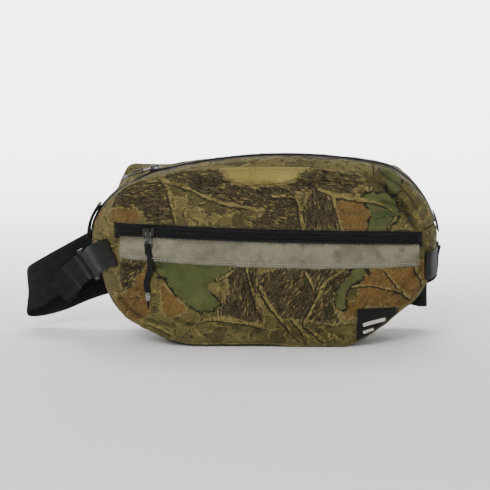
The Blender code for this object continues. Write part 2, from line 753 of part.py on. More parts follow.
def build_side(side, spec):
    bar = unit(spec["bar"])
    run = unit(np.asarray(spec["run"]) - np.dot(spec["run"], bar) * bar)
    origin = np.asarray(spec["ring"], float)
    flip = 1.0 if side == "left" else -1.0
    place = frame_at(origin, run, flip * bar)
    near, far = -4.8, 4.8
    outside = 1.0 if place([[0, 0, 1]])[0][0] * origin[0] > origin[0] ** 2 else -1.0
    ring_axis = add_axis(f"{side}_ring_pivot", place([[near, 0, 0]])[0])
    outside_box, opening = (-6.4, 6.4, -19, 19, -1.5, 1.5), (-3.2, 3.2, -15.6, 15.6, -2, 2)
    box_union(f"{side}_ring", [outside_box], [opening], "plastic", place, ring_axis)
    wrap = loop_path(3.3, 9.0, 9.0, dip=1.2)
    tab_end = place([(near + a, 0, outside * o) for a, o in wrap])
    lead = catmull([*spec["root"], tab_end[0]], 4)[:-1]
    path = np.vstack([lead, tab_end])
    side_dirs = np.vstack([np.linspace(spec["lean"], bar, len(lead)), [bar] * len(tab_end)])
    ribbon(f"{side}_side_tab", path, side_dirs, TAB_WIDTH, TAB_THICK, "webbing")
    wide = loop_path(4.1, 9.0, 9.0, dip=1.6)
    strap_loop = place([(far - a, 0, outside * o) for a, o in wide])[::-1]
    strap_tail = catmull([strap_loop[-1], *spec["strap"]], 4)[1:]
    path = np.vstack([strap_loop, strap_tail])
    side_dirs = np.vstack([[bar] * len(strap_loop), np.linspace(bar, spec["end_lean"], len(strap_tail))])
    ribbon(f"{side}_stabiliser_strap", path, side_dirs, TAB_WIDTH, TAB_THICK, "webbing")


LEFT_BELT = [
    (-146, 50.9, 107), (-170, 50.6, 95), (-200, 48, 79), (-230, 46, 62.5), (-249, 46.6, 51),
    (-259.5, 49.8, 43), (-263, 54, 38.5), (-259.5, 58.6, 35), (-249, 61.6, 34.5), (-228, 62.7, 40),
    (-199, 63.3, 52), (-168, 63.5, BUCKLE_Z), (-110, 63.5, BUCKLE_Z), (-56, 63.5, BUCKLE_Z),
]
LEFT_LEAN = [
    (-0.485, 0, 0.875), (-0.485, 0, 0.875), (-0.485, 0, 0.875), (-0.47, 0, 0.88), (-0.3, 0, 0.95),
    (0, 0, 1), (0.1, 0, 1), (-0.05, 0, 1), (-0.28, 0, 0.96), (-0.28, 0, 0.96),
    (-0.12, 0, 1), (0, 0, 1), (0, 0, 1), (0, 0, 1),
]
RIGHT_BELT = [
    (131, 50.9, 69), (143, 50.9, 60), (157, 51.1, 52), (170, 53.4, 47), (175.5, 57.8, 46),
    (170, 62.2, 46), (154, 64.4, 47), (127, 66, 51), (100, 69, 57), (80, 72.6, BUCKLE_Z),
]


def build_belts():
    ribbon("left_belt", catmull(LEFT_BELT, 3), catmull(LEFT_LEAN, 3), BELT_WIDTH, BELT_THICK, "webbing")
    wrap = loop_path(4.85, 6.0, 8.0, dip=1.2)
    loop = [(56.7 - a, BUCKLE_Y + o, BUCKLE_Z) for a, o in wrap]
    path = np.vstack([catmull([*RIGHT_BELT, loop[0]], 3)[:-1], loop])
    ribbon("right_belt", path, (0, 0, 1), BELT_WIDTH, BELT_THICK, "webbing")


def at_buckle(points):
    return np.asarray(points, float) + (0, BUCKLE_Y, BUCKLE_Z)


def build_female():
    """Buckle socket: a sleeve with side windows for the prongs and a bar for the belt."""
    sleeve = [(14, 59, -6.6, 6.6, -29, 29)]
    cavity = (13, 48, -3.6, 3.6, -23.5, 23.5)
    windows = (22, 46, -3.6, 3.6, -30, 30)
    belt_slots = [
        (50, 54.4, -7, 7, -23.6, 23.6), (50, 60, 2.2, 7, -23.6, 23.6), (50, 60, -7, -2.2, -23.6, 23.6),
    ]
    box_union("buckle_female", sleeve, [cavity, windows, *belt_slots], "plastic", at_buckle)


def build_prong(name, sign, slide_x):
    """One sprung prong, hooked behind the socket's window."""
    axis = add_axis(f"{name}_axis", (slide_x, BUCKLE_Y, BUCKLE_Z + sign * 15))
    boxes = [
        (13.1, 24, 12.5, 17), (21, 36, 14, 19.5), (31, 34.4, 16, 22.4), (34, 43, 12, 24.3),
        (42.9, 46.4, 12, 22.5),
    ]
    half = 3.0
    flipped = [(x0, x1, -half, half, *sorted((sign * z0, sign * z1))) for x0, x1, z0, z1 in boxes]
    box_union(name, flipped, [], "plastic", at_buckle, axis)


def build_buckle():
    build_female()
    slide_x, bar_x = 14, -13.4
    slide_axis = add_axis("buckle_slide_axis", (slide_x, BUCKLE_Y, BUCKLE_Z))
    body, tongue = (-24, 12.6, -3.0, 3.0, -27, 27), (12.6, 43, -2.8, 2.8, -4.5, 4.5)
    strap_slots = [(-20, -15.4, -4, 4, -23.6, 23.6), (-11.4, -6, -4, 4, -23.6, 23.6)]
    box_union("buckle_male", [body, tongue], strap_slots, "plastic", at_buckle, slide_axis)
    build_prong("buckle_prong_upper", 1, slide_x)
    build_prong("buckle_prong_lower", -1, slide_x)
    outer = [
        (-150, 68.6), (-110, 68.6), (-70, 68.6), (-44, 68.6), (-34, 70.8), (-26, 73.4), (-20, 74.2),
    ]
    wrap = [
        (bar_x + 3.9 * math.sin(t), BUCKLE_Y + 5.0 * math.cos(t)) for t in np.linspace(0, math.pi, 9)
    ]
    lead = catmull([*outer, wrap[0]], 2)[:-1]
    path = np.array([(x, y, BUCKLE_Z) for x, y in [*lead, *wrap]])
    ribbon("belt_adjusting_strap", path, (0, 0, 1), BELT_WIDTH, TAB_THICK, "webbing", slide_axis)


def build_keeper(name, x0, x1, slot, wall):
    """A flat loop round both layers of the belt, with a bar between them if it is rigid."""
    low, high, reach = 61.8, 70.2, 23.2
    bar_low, bar_high, rail = 65.2, 66.9, 4
    outer = (x0, x1, low - wall, high + wall, -reach - wall * 1.6, reach + wall * 1.6)
    holes = [(x0 - 1, x1 + 1, low, high, -reach, reach)]
    if slot == "plastic":
        holes = [
            (x0 - 1, x1 + 1, low, bar_low, -reach, reach), (x0 - 1, x1 + 1, bar_high, high, -reach, reach),
            (x0 - 1, x0 + rail, bar_low, bar_high, -reach, reach),
            (x1 - rail, x1 + 1, bar_low, bar_high, -reach, reach),
        ]
    axis = add_axis(f"{name}_axis", ((x0 + x1) / 2, (low + high) / 2, BUCKLE_Z))

    def place(points):
        return np.asarray(points, float) + (0, 0, BUCKLE_Z)

    box_union(name, [outer], holes, slot, place, axis)


def main():
    clear_scene()
    build_front()
    build_gussets()
    build_mouth(add_axis("mouth_hinge", (CROWN_X, FRONT_SEAM_Y, 191.5)))
    build_main_zip()
    build_pocket_pull()
    build_main_pull()
    build_back()
    build_back_pad()
    for side, spec in SIDE_TABS.items():
        build_side(side, spec)
    build_belts()
    build_buckle()
    build_keeper("belt_adjuster", -96, -84, "plastic", 1.6)
    build_keeper("elastic_keeper", -140, -128, "webbing", 1.2)


main()
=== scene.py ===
"""Looks for the hip-style sling bag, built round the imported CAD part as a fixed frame.

Shapes below are in millimetres in the part's own frame: X along the bag, +Y towards the
wearer and Z up from the flat base. The surface functions repeat the part's own, so that
each piece of cloth starts where its CAD panel is.
"""

import math

import bmesh
import bpy
import numpy as np
from mathutils import Matrix, Vector
from mathutils.bvhtree import BVHTree


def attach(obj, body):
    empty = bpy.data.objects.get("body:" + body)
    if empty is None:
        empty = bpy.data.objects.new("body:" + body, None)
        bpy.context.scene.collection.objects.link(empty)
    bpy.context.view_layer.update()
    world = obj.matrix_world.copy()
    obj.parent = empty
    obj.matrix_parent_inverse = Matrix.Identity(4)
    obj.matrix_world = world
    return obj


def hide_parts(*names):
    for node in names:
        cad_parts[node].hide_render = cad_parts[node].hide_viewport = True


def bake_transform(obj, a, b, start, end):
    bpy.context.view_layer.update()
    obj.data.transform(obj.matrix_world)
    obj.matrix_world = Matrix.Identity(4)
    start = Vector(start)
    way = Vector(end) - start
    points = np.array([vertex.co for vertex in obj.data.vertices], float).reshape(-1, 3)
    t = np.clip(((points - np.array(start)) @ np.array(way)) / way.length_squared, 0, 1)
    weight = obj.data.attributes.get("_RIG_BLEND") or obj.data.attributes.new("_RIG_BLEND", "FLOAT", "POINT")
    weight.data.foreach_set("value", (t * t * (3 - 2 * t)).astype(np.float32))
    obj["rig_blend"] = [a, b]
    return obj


MM = 0.001
GAP = 0.4

# Shell
CENTRE_Z = 95.0
FRONT_SEAM_Y = -42.0
BACK_SEAM_Y = 45.0
GUSSET_POWER = 2.4
DOME = 16.0
DOME_POWER = 2.5
HALF_WIDTH = 166.0
CLOTH_THICK = 1.3

# Main zip
CROWN_RADIUS = 527.0
CROWN_X = 20.0
CROWN_Z = 200.0
ARC_LEFT_X = -118.0
ARC_RIGHT_X = 125.0
ZIP_TAPE = 8.0
MOUTH_LEFT_X = -104.0
MOUTH_RIGHT_X = 112.0
LEAN_SPAN = 30.0
TOP_SIDE_Z = 150.0
MOUTH_FADE = 38.0

# Pocket zip and the strip below it
POCKET_ZIP_Z = 122.0
POCKET_ZIP_TILT = math.radians(1.7)
POCKET_SLIDER_X = -124.0
POCKET_TAPE = 7.0
STRIP_TOP = 5.2
STRIP_WIDTH = 27.0

# Belt
BELT_WIDTH = 45.0
BELT_THICK = 2.4
TAB_WIDTH = 30.0
TAB_THICK = 1.5
BUCKLE_Y = 69.0
BUCKLE_Z = 60.0

# Cloth
GRID = 4.2
SIM_SCALE = 10.0
SIM_FRAMES = 24
SIM_CAP = 6.0  # the furthest that settling may move a point
SCALE_UP = Matrix.Scale(SIM_SCALE, 4)
CLOTH_DETAIL = 2
FLOOR_CLEARANCE = 0.4

FRONT_OUTLINE = [
    (0, 3.5), (82, 1), (143, 41), (163, 66), (165, 95), (164, 122), (159, 140), (150, 157),
    (135, 170.5), (100, 180.5), (60, 188.5), (20, 191), (-30, 190.5), (-70, 188.5),
    (-96, 186), (-122, 179.5), (-142, 173.5), (-155, 165), (-162, 148), (-161, 117),
    (-156, 89), (-158, 61), (-152, 36), (-125, 19.5), (-88, 5), (-45, 3.5),
]
MIDDLE_BASE = [
    (0, -3), (86, -3), (148, 36), (167, 60), (178, 86), (181, 110), (178, 130),
    (170, 150), (158, 167), (143, 180),
]
MIDDLE_LEFT = [
    (-145, 169.5), (-162, 158), (-176, 144), (-185, 126), (-186, 106), (-177, 80),
    (-169, 55), (-158.5, 36.5), (-127, 11.5), (-89, -2), (-45, -3),
]
BACK_OUTLINE = [
    (0, 3), (80, 3), (136, 36), (158, 64), (165, 100), (163, 128), (158, 150), (152, 168),
    (143, 179), (128, 182), (60, 182), (0, 182), (-60, 182), (-127, 182.5), (-146, 182.5),
    (-153, 174), (-161, 155), (-167, 128), (-169, 100), (-163, 70), (-152, 40),
    (-118, 20), (-86, 4), (-45, 3),
]

# Printed pattern: outlines of the bark, leaf and grass shapes
PALE = [[(-60, 192), (-5, 195), (46, 194), (24, 180), (-5, 177), (-31, 178), (-48, 186)]]
BARK = [
    ([(-106, 180), (-96, 188), (-59, 191), (-45, 183), (-26, 175), (0, 175), (24, 179), (46, 190),
      (69, 191), (90, 186), (102, 177), (90, 170), (95, 162), (67, 167), (35, 170), (33, 158),
      (36, 125), (-5, 125), (-18, 138), (-5, 150), (-21, 153), (-65, 162), (-87, 172)], -12),
    ([(-166, 157), (-155, 170), (-134, 177), (-113, 178), (-102, 168), (-95, 132), (-124, 134),
      (-134, 147), (-166, 145)], 8),
    ([(45, 171), (58, 170), (71, 152), (80, 122), (37, 122), (35, 144)], -80),
    ([(-5, 86), (88, 86), (75, 68), (70, 51), (78, 33), (54, 31), (24, 33), (5, 38), (-5, 53)], 55),
    ([(-40, 90), (-12, 90), (-10, 63), (-5, 33), (-33, 31), (-51, 40), (-41, 63)], 88),
    ([(-155, 96), (-124, 94), (-126, 83), (-138, 74), (-149, 62), (-157, 70)], 40),
]
ORANGE = [
    [(71, 161), (99, 161), (108, 144), (107, 122), (79, 122)],
    [(-160, 53), (-137, 69), (-133, 83), (-122, 86), (-123, 38), (-140, 30), (-157, 44)],
    [(-109, 68), (-100, 62), (-84, 46), (-92, 38), (-107, 38)],
    [(105, 84), (166, 92), (168, 71), (144, 45), (111, 49), (96, 42), (84, 33), (80, 46), (93, 59)],
    [(-166, 147), (-147, 149), (-134, 147), (-136, 135), (-166, 134)],
]
GREEN = [
    [(99, 162), (113, 166), (131, 160), (138, 149), (132, 134), (119, 123), (105, 123), (108, 145)],
    [(-119, 97), (-86, 96), (-36, 90), (-57, 75), (-58, 63), (-49, 51), (-60, 42), (-75, 45),
     (-96, 61), (-102, 75), (-113, 83)],
    [(90, 86), (105, 84), (84, 66), (82, 48), (72, 49), (73, 66)],
    [(125, 196), (143, 188), (145, 173), (132, 164), (124, 177)],
]
TWIG_SHARE = 0.72
PRINT_HALF_X = 175.0
PRINT_TOP_Z = 200.0
PALE_TOP_Z = 194.0
TWIGS = [
    (1.1, [(-115, 182), (-105, 173), (-100, 158), (-95, 134)]),
    (1.2, [(-82, 132), (-86, 147), (-75, 155), (-63, 158), (-59, 165)]),
    (2.0, [(-108, 179), (-87, 174), (-65, 163), (-44, 156), (-18, 152)]),
    (1.7, [(6, 164), (27, 163), (33, 155), (35, 143), (39, 124)]),
    (2.4, [(54, 171), (71, 164), (83, 162), (102, 159)]),
    (1.6, [(68, 163), (72, 149), (80, 123)]),
    (0.6, [(99, 160), (117, 155), (130, 148), (135, 144)]),
    (0.6, [(115, 141), (134, 143), (127, 130)]),
    (0.6, [(-158, 54), (-138, 57), (-126, 61)]),
    (0.7, [(-151, 32), (-140, 47), (-126, 65)]),
    (1.4, [(-86, 14), (-73, 27), (-58, 32), (-29, 30), (-1, 22)]),
    (2.6, [(-65, 33), (-39, 34), (-20, 30), (-5, 26)]),
    (2.0, [(77, 85), (62, 75), (54, 61), (46, 43), (41, 27), (61, 7)]),
    (2.2, [(-7, 70), (1, 52), (10, 39), (24, 21)]),
    (1.1, [(26, 33), (35, 22), (41, 8)]),
    (1.0, [(18, 29), (26, 16), (35, 8)]),
    (1.4, [(122, 87), (132, 73), (142, 62), (151, 54)]),
    (1.3, [(88, 69), (107, 70), (126, 66), (143, 61)]),
    (1.3, [(155, 88), (161, 77), (165, 68)]),
    (1.2, [(67, 28), (88, 30), (97, 39), (107, 54)]),
    (1.3, [(-21, 87), (-18, 74), (-14, 61), (-10, 46)]),
    (1.1, [(40, 85), (46, 74), (49, 63)]),
    (1.0, [(-145, 21), (-124, 25), (-102, 16)]),
    (2.2, [(-52, 77), (-43, 81), (-36, 86)]),
]

# Creases that the cloth starts with: half width, depth and the line they follow
CREASES = [
    (3.6, 4.6, [(104, 184), (124, 172), (143, 152), (157, 128)]),
    (3.2, 3.6, [(126, 183), (144, 170), (157, 150)]),
    (3.2, 3.0, [(120, 158), (140, 150), (158, 132)]),
    (3.6, 2.6, [(60, 181), (90, 176), (118, 180)]),
    (4.2, 2.4, [(-160, 112), (-139, 117), (-116, 114)]),
    (4.5, 3.4, [(-160, 92), (-139, 86), (-110, 90)]),
    (3.5, 2.6, [(-160, 66), (-140, 68), (-124, 60)]),
    (3.5, 2.8, [(-155, 157), (-147, 146), (-147, 134)]),
    (5.0, 3.2, [(-155, 53), (-134, 33), (-100, 24)]),
    (5.0, 2.6, [(-97, 33), (-66, 22), (-7, 17)]),
    (4.0, 2.6, [(119, 52), (137, 62), (163, 84)]),
    (4.0, 2.2, [(30, 14), (58, 20), (80, 12)]),
    (5.0, 2.4, [(-100, 176), (-40, 180), (10, 177), (60, 181)]),
    (4.0, 2.0, [(-12, 82), (-20, 60), (-10, 34)]),
    (4.5, 2.0, [(60, 84), (72, 62), (66, 40)]),
]


# Curves and surfaces


def unit(vector):
    return np.asarray(vector, float) / np.linalg.norm(vector)


def catmull(points, steps, closed=False):
    """Points along a smooth curve through the given ones."""
    points = np.asarray(points, float)
    if closed:
        padded = np.vstack([points[-1], points, points[0], points[1]])
        spans = len(points)
    else:
        padded = np.vstack([2 * points[0] - points[1], points, 2 * points[-1] - points[-2]])
        spans = len(points) - 1
    found = []
    for span in range(spans):
        a, b, c, d = padded[span : span + 4]
        for step in range(steps):
            t = step / steps
            found.append(
                0.5 * (2 * b + (c - a) * t + (2 * a - 5 * b + 4 * c - d) * t**2
                       + (3 * b - a - 3 * c + d) * t**3)
            )
    if not closed:
        found.append(points[-1])
    return np.array(found)


def smooth(value, low, high):
    """0 below low, 1 above high, and a smooth ramp between."""
    t = np.clip((np.asarray(value, float) - low) / (high - low), 0.0, 1.0)
    return t * t * (3 - 2 * t)


def crown_z(x):
    return CROWN_Z - CROWN_RADIUS + math.sqrt(CROWN_RADIUS**2 - (x - CROWN_X) ** 2)


def polar_table(outline):
    loop = catmull(outline, 16, closed=True)
    angles = np.arctan2(loop[:, 1] - CENTRE_Z, loop[:, 0])
    radii = np.hypot(loop[:, 0], loop[:, 1] - CENTRE_Z)
    order = np.argsort(angles)
    return angles[order], radii[order]


def radius_of(table, angle):
    return np.interp(angle, table[0], table[1], period=2 * math.pi)


CROWN_POINTS = [(x, crown_z(x)) for x in np.linspace(ARC_RIGHT_X, ARC_LEFT_X, 9)]
FRONT = polar_table(FRONT_OUTLINE)
MIDDLE = polar_table(MIDDLE_BASE + CROWN_POINTS + MIDDLE_LEFT)
BACK = polar_table(BACK_OUTLINE)
FRONT_LOOP = catmull(FRONT_OUTLINE, 16, closed=True)
POCKET_RADIUS = (HALF_WIDTH**2 + DOME**2) / (2 * DOME)
FRONT_Y = FRONT_SEAM_Y - 4.4


def shell_point(angle, v, inset=0.0):
    """Point of the gusset: v is -1 on the front seam, 0 on the crown, 1 on the back."""
    seam = FRONT if v < 0 else BACK
    depth = -FRONT_SEAM_Y if v < 0 else BACK_SEAM_Y
    bulge = 1 - abs(v) ** GUSSET_POWER
    edge = radius_of(seam, angle)
    radius = edge + (radius_of(MIDDLE, angle) - edge) * bulge
    x = radius * math.cos(angle)
    z = max(CENTRE_Z + radius * math.sin(angle), 0.0)
    # Over the mouth the walls run straight down, as they do in the solid.
    past_mouth = (abs(x) - MOUTH_RIGHT_X - 1) / LEAN_SPAN
    lean = min(max(past_mouth, 0.0), 1.0) if z > TOP_SIDE_Z else 1.0
    inward = unit((-x * lean, CENTRE_Z - z))
    return np.array([x + inset * inward[0], v * depth, z + inset * inward[1]])


def angle_of(x, z):
    return math.atan2(z - CENTRE_Z, x)


def angle_at_x(x, v):
    """The angle at which the gusset's upper side crosses a given x."""
    low, high = 0.2, math.pi - 0.2
    for _ in range(40):
        middle = (low + high) / 2
        if shell_point(middle, v)[0] > x:
            low = middle
        else:
            high = middle
    return (low + high) / 2


def pocket_zip_z(x):
    return POCKET_ZIP_Z - x * math.tan(POCKET_ZIP_TILT)


def dome_depth(x):
    span = min(abs(x), HALF_WIDTH)
    return math.sqrt(POCKET_RADIUS**2 - span**2) - (POCKET_RADIUS - DOME)


def outline_z(x, above):
    keep = FRONT_LOOP[(FRONT_LOOP[:, 1] > POCKET_ZIP_Z) == above]
    keep = keep[np.argsort(keep[:, 0])]
    return float(np.interp(x, keep[:, 0], keep[:, 1]))


def front_y(x, z):
    """The domed front, rounded back to the gusset where it meets the outline."""
    middle = pocket_zip_z(x)
    reach = outline_z(x, z > middle) - middle
    share = min(abs((z - middle) / reach), 1.0) if abs(reach) > 1 else 1.0
    rim = radius_of(FRONT, angle_of(x, z)) - math.hypot(x, z - CENTRE_Z)
    turn = float(smooth(8.0 - rim, 0.0, 8.0)) ** 2
    return FRONT_Y - dome_depth(x) * (1 - share**DOME_POWER) + 3.4 * turn


def on_front(x, z, out=0.0):
    return np.array([x, front_y(x, z) - out, z])


def outline_between(start, end, count):
    found = []
    for angle in np.linspace(start, end, count):
        radius = radius_of(FRONT, angle) - GAP
        found.append((radius * math.cos(angle), max(CENTRE_Z + radius * math.sin(angle), GAP)))
    return np.array(found)


def coons(bottom, top, left, right):
    """Grid of (x, z) points blended from four border curves."""
    s = np.linspace(0, 1, len(bottom))[:, None, None]
    t = np.linspace(0, 1, len(left))[None, :, None]
    bottom, top = bottom[:, None, :], top[:, None, :]
    left, right = left[None, :, :], right[None, :, :]
    return (
        (1 - t) * bottom + t * top + (1 - s) * left + s * right
        - (1 - s) * (1 - t) * bottom[:1] - s * (1 - t) * bottom[-1:]
        - (1 - s) * t * top[:1] - s * t * top[-1:]
    )


# Printed pattern as distances, which the camouflage material cuts into shapes


def distance_to_line(points, line):
    best = np.full(len(points), 1e3)
    for a, b in zip(line[:-1], line[1:]):
        along = b - a
        t = np.clip(((points - a) @ along) / max(along @ along, 1e-9), 0, 1)
        best = np.minimum(best, np.linalg.norm(points - a - t[:, None] * along, axis=1))
    return best


def inside_polygon(points, loop):
    found = np.zeros(len(points), bool)
    x, z = points[:, 0], points[:, 1]
    for a, b in zip(loop, np.roll(loop, -1, axis=0)):
        crosses = (a[1] > z) != (b[1] > z)
        with np.errstate(divide="ignore", invalid="ignore"):
            at = (b[0] - a[0]) * (z - a[1]) / (b[1] - a[1]) + a[0]
        found ^= crosses & (x < at)
    return found


def patch_distance(points, outline):
    """Distance inside the outline, negative outside it."""
    loop = catmull(outline, 4, closed=True)
    edge = distance_to_line(points, np.vstack([loop, loop[:1]]))
    return np.where(inside_polygon(points, loop), edge, -edge)


def folded(points):
    """The print repeats, mirrored, beyond the front's own stretch of cloth."""
    wide, tall = 2 * PRINT_HALF_X, PRINT_TOP_Z
    x = (points[:, 0] + PRINT_HALF_X) % (2 * wide)
    z = points[:, 1] % (2 * tall)
    x = np.where(x < wide, x, 2 * wide - x) - PRINT_HALF_X
    z = np.where(z < tall, z, 2 * tall - z)
    return np.column_stack([x, z])


def fold_depth(points):
    """How deep in a crease each point lies, from 0 to 1."""
    deepest = np.zeros(len(points))
    for width, deep, line in CREASES:
        away = distance_to_line(points, catmull(line, 5)) / (0.8 * width)
        deepest = np.maximum(deepest, np.exp(-(away**2)) * min(deep / 4.0, 1.0))
    return deepest


def print_fields(points):
    beyond_front = (np.abs(points[:, 0]) > PRINT_HALF_X) | (points[:, 1] > PALE_TOP_Z)
    # fold is the crease depth; the camouflage material darkens the colour by it as painted shade.
    fields = {"fold": fold_depth(points)}
    points = folded(points)
    for name, outlines in (("pale", PALE), ("orange", ORANGE), ("green", GREEN)):
        fields[name] = np.max([patch_distance(points, o) for o in outlines], axis=0)
    fields["pale"] = np.where(beyond_front, -20.0, fields["pale"])
    distances = np.array([patch_distance(points, o) for o, _ in BARK])
    fields["bark"] = distances.max(axis=0)
    turn = np.radians(np.array([grain for _, grain in BARK]))[distances.argmax(axis=0)]
    along = points[:, 0] * np.cos(turn) + points[:, 1] * np.sin(turn)
    across = -points[:, 0] * np.sin(turn) + points[:, 1] * np.cos(turn)
    fields["grain"] = np.column_stack([along, across, np.zeros(len(points))])
    lines = [TWIG_SHARE * w - distance_to_line(points, catmull(line, 5)) for w, line in TWIGS]
    fields["twig"] = np.max(lines, axis=0)
    shade = points + (1.3, 1.1)
    lines = [TWIG_SHARE * w + 0.6 - distance_to_line(shade, catmull(line, 5)) for w, line in TWIGS]
    fields["twig_shade"] = np.max(lines, axis=0)
    return fields


# Materials


class Graph:
    """A material's node tree, with short calls for the nodes used below."""

    def __init__(self, name, **constants):
        self.material = bpy.data.materials.new(name)
        self.material.use_nodes = True
        self.tree = self.material.node_tree
        self.shader = self.tree.nodes["Principled BSDF"]
        for key, value in constants.items():
            words = key.replace("_", " ").title().replace("Ior", "IOR")
            self.shader.inputs[words].default_value = value

    def node(self, kind, inputs=(), **settings):
        made = self.tree.nodes.new("ShaderNode" + kind)
        for key, value in settings.items():
            setattr(made, key, value)
        for key, value in dict(inputs).items():
            self.join(made.inputs[key], value)
        return made

    def join(self, socket, value):
        if isinstance(value, bpy.types.NodeSocket):
            self.tree.links.new(value, socket)
        else:
            socket.default_value = value

    def field(self, name, vector=False):
        return self.node("Attribute", attribute_name=name).outputs["Vector" if vector else "Fac"]

    def place(self):
        return self.node("TexCoord").outputs["Object"]

    def scaled(self, vector, scale):
        return self.node("Mapping", {"Vector": vector, "Scale": scale}).outputs[0]

    def noise(self, vector, scale, detail=3.0, rough=0.5):
        made = self.node("TexNoise", {"Vector": vector, "Scale": scale, "Detail": detail,
                                      "Roughness": rough})
        return made.outputs["Fac"]

    def maths(self, operation, a, b=0.0):
        return self.node("Math", {0: a, 1: b}, operation=operation).outputs[0]

    def ramp(self, value, low, high, start=0.0, end=1.0):
        made = self.node("MapRange", {"Value": value, "From Min": low, "From Max": high,
                                      "To Min": start, "To Max": end},
                         interpolation_type="SMOOTHSTEP")
        return made.outputs[0]

    def mix(self, share, a, b):
        made = self.node("Mix", {0: share}, data_type="RGBA")
        self.join(made.inputs[6], (*a, 1.0) if isinstance(a, tuple) else a)
        self.join(made.inputs[7], (*b, 1.0) if isinstance(b, tuple) else b)
        return made.outputs[2]

    def tinted(self, colour, factor):
        grey = self.node("CombineColor", {0: factor, 1: factor, 2: factor}).outputs[0]
        made = self.node("Mix", {0: 1.0}, data_type="RGBA", blend_type="MULTIPLY")
        self.join(made.inputs[6], (*colour, 1.0) if isinstance(colour, tuple) else colour)
        self.join(made.inputs[7], grey)
        return made.outputs[2]

    def bump(self, height, distance, strength=1.0, below=None):
        inputs = {"Height": height, "Distance": distance, "Strength": strength}
        if below is not None:
            inputs["Normal"] = below
        return self.node("Bump", inputs).outputs[0]

    def finish(self, colour, normal=None, rough=None):
        self.join(self.shader.inputs["Base Color"], colour)
        if normal is not None:
            self.join(self.shader.inputs["Normal"], normal)
        if rough is not None:
            self.join(self.shader.inputs["Roughness"], rough)
        return self.material


def weave_height(graph, cloth, pitch):
    """Plain weave from two crossed waves along the cloth's own coordinates, in metres."""
    size = 1.0 / pitch
    waves = []
    for direction in ("X", "Y"):
        made = graph.node("TexWave", {"Vector": cloth, "Scale": size / 6.283, "Distortion": 0.0},
                          wave_type="BANDS", bands_direction=direction)
        waves.append(made.outputs["Fac"])
    return graph.maths("ADD", *waves)


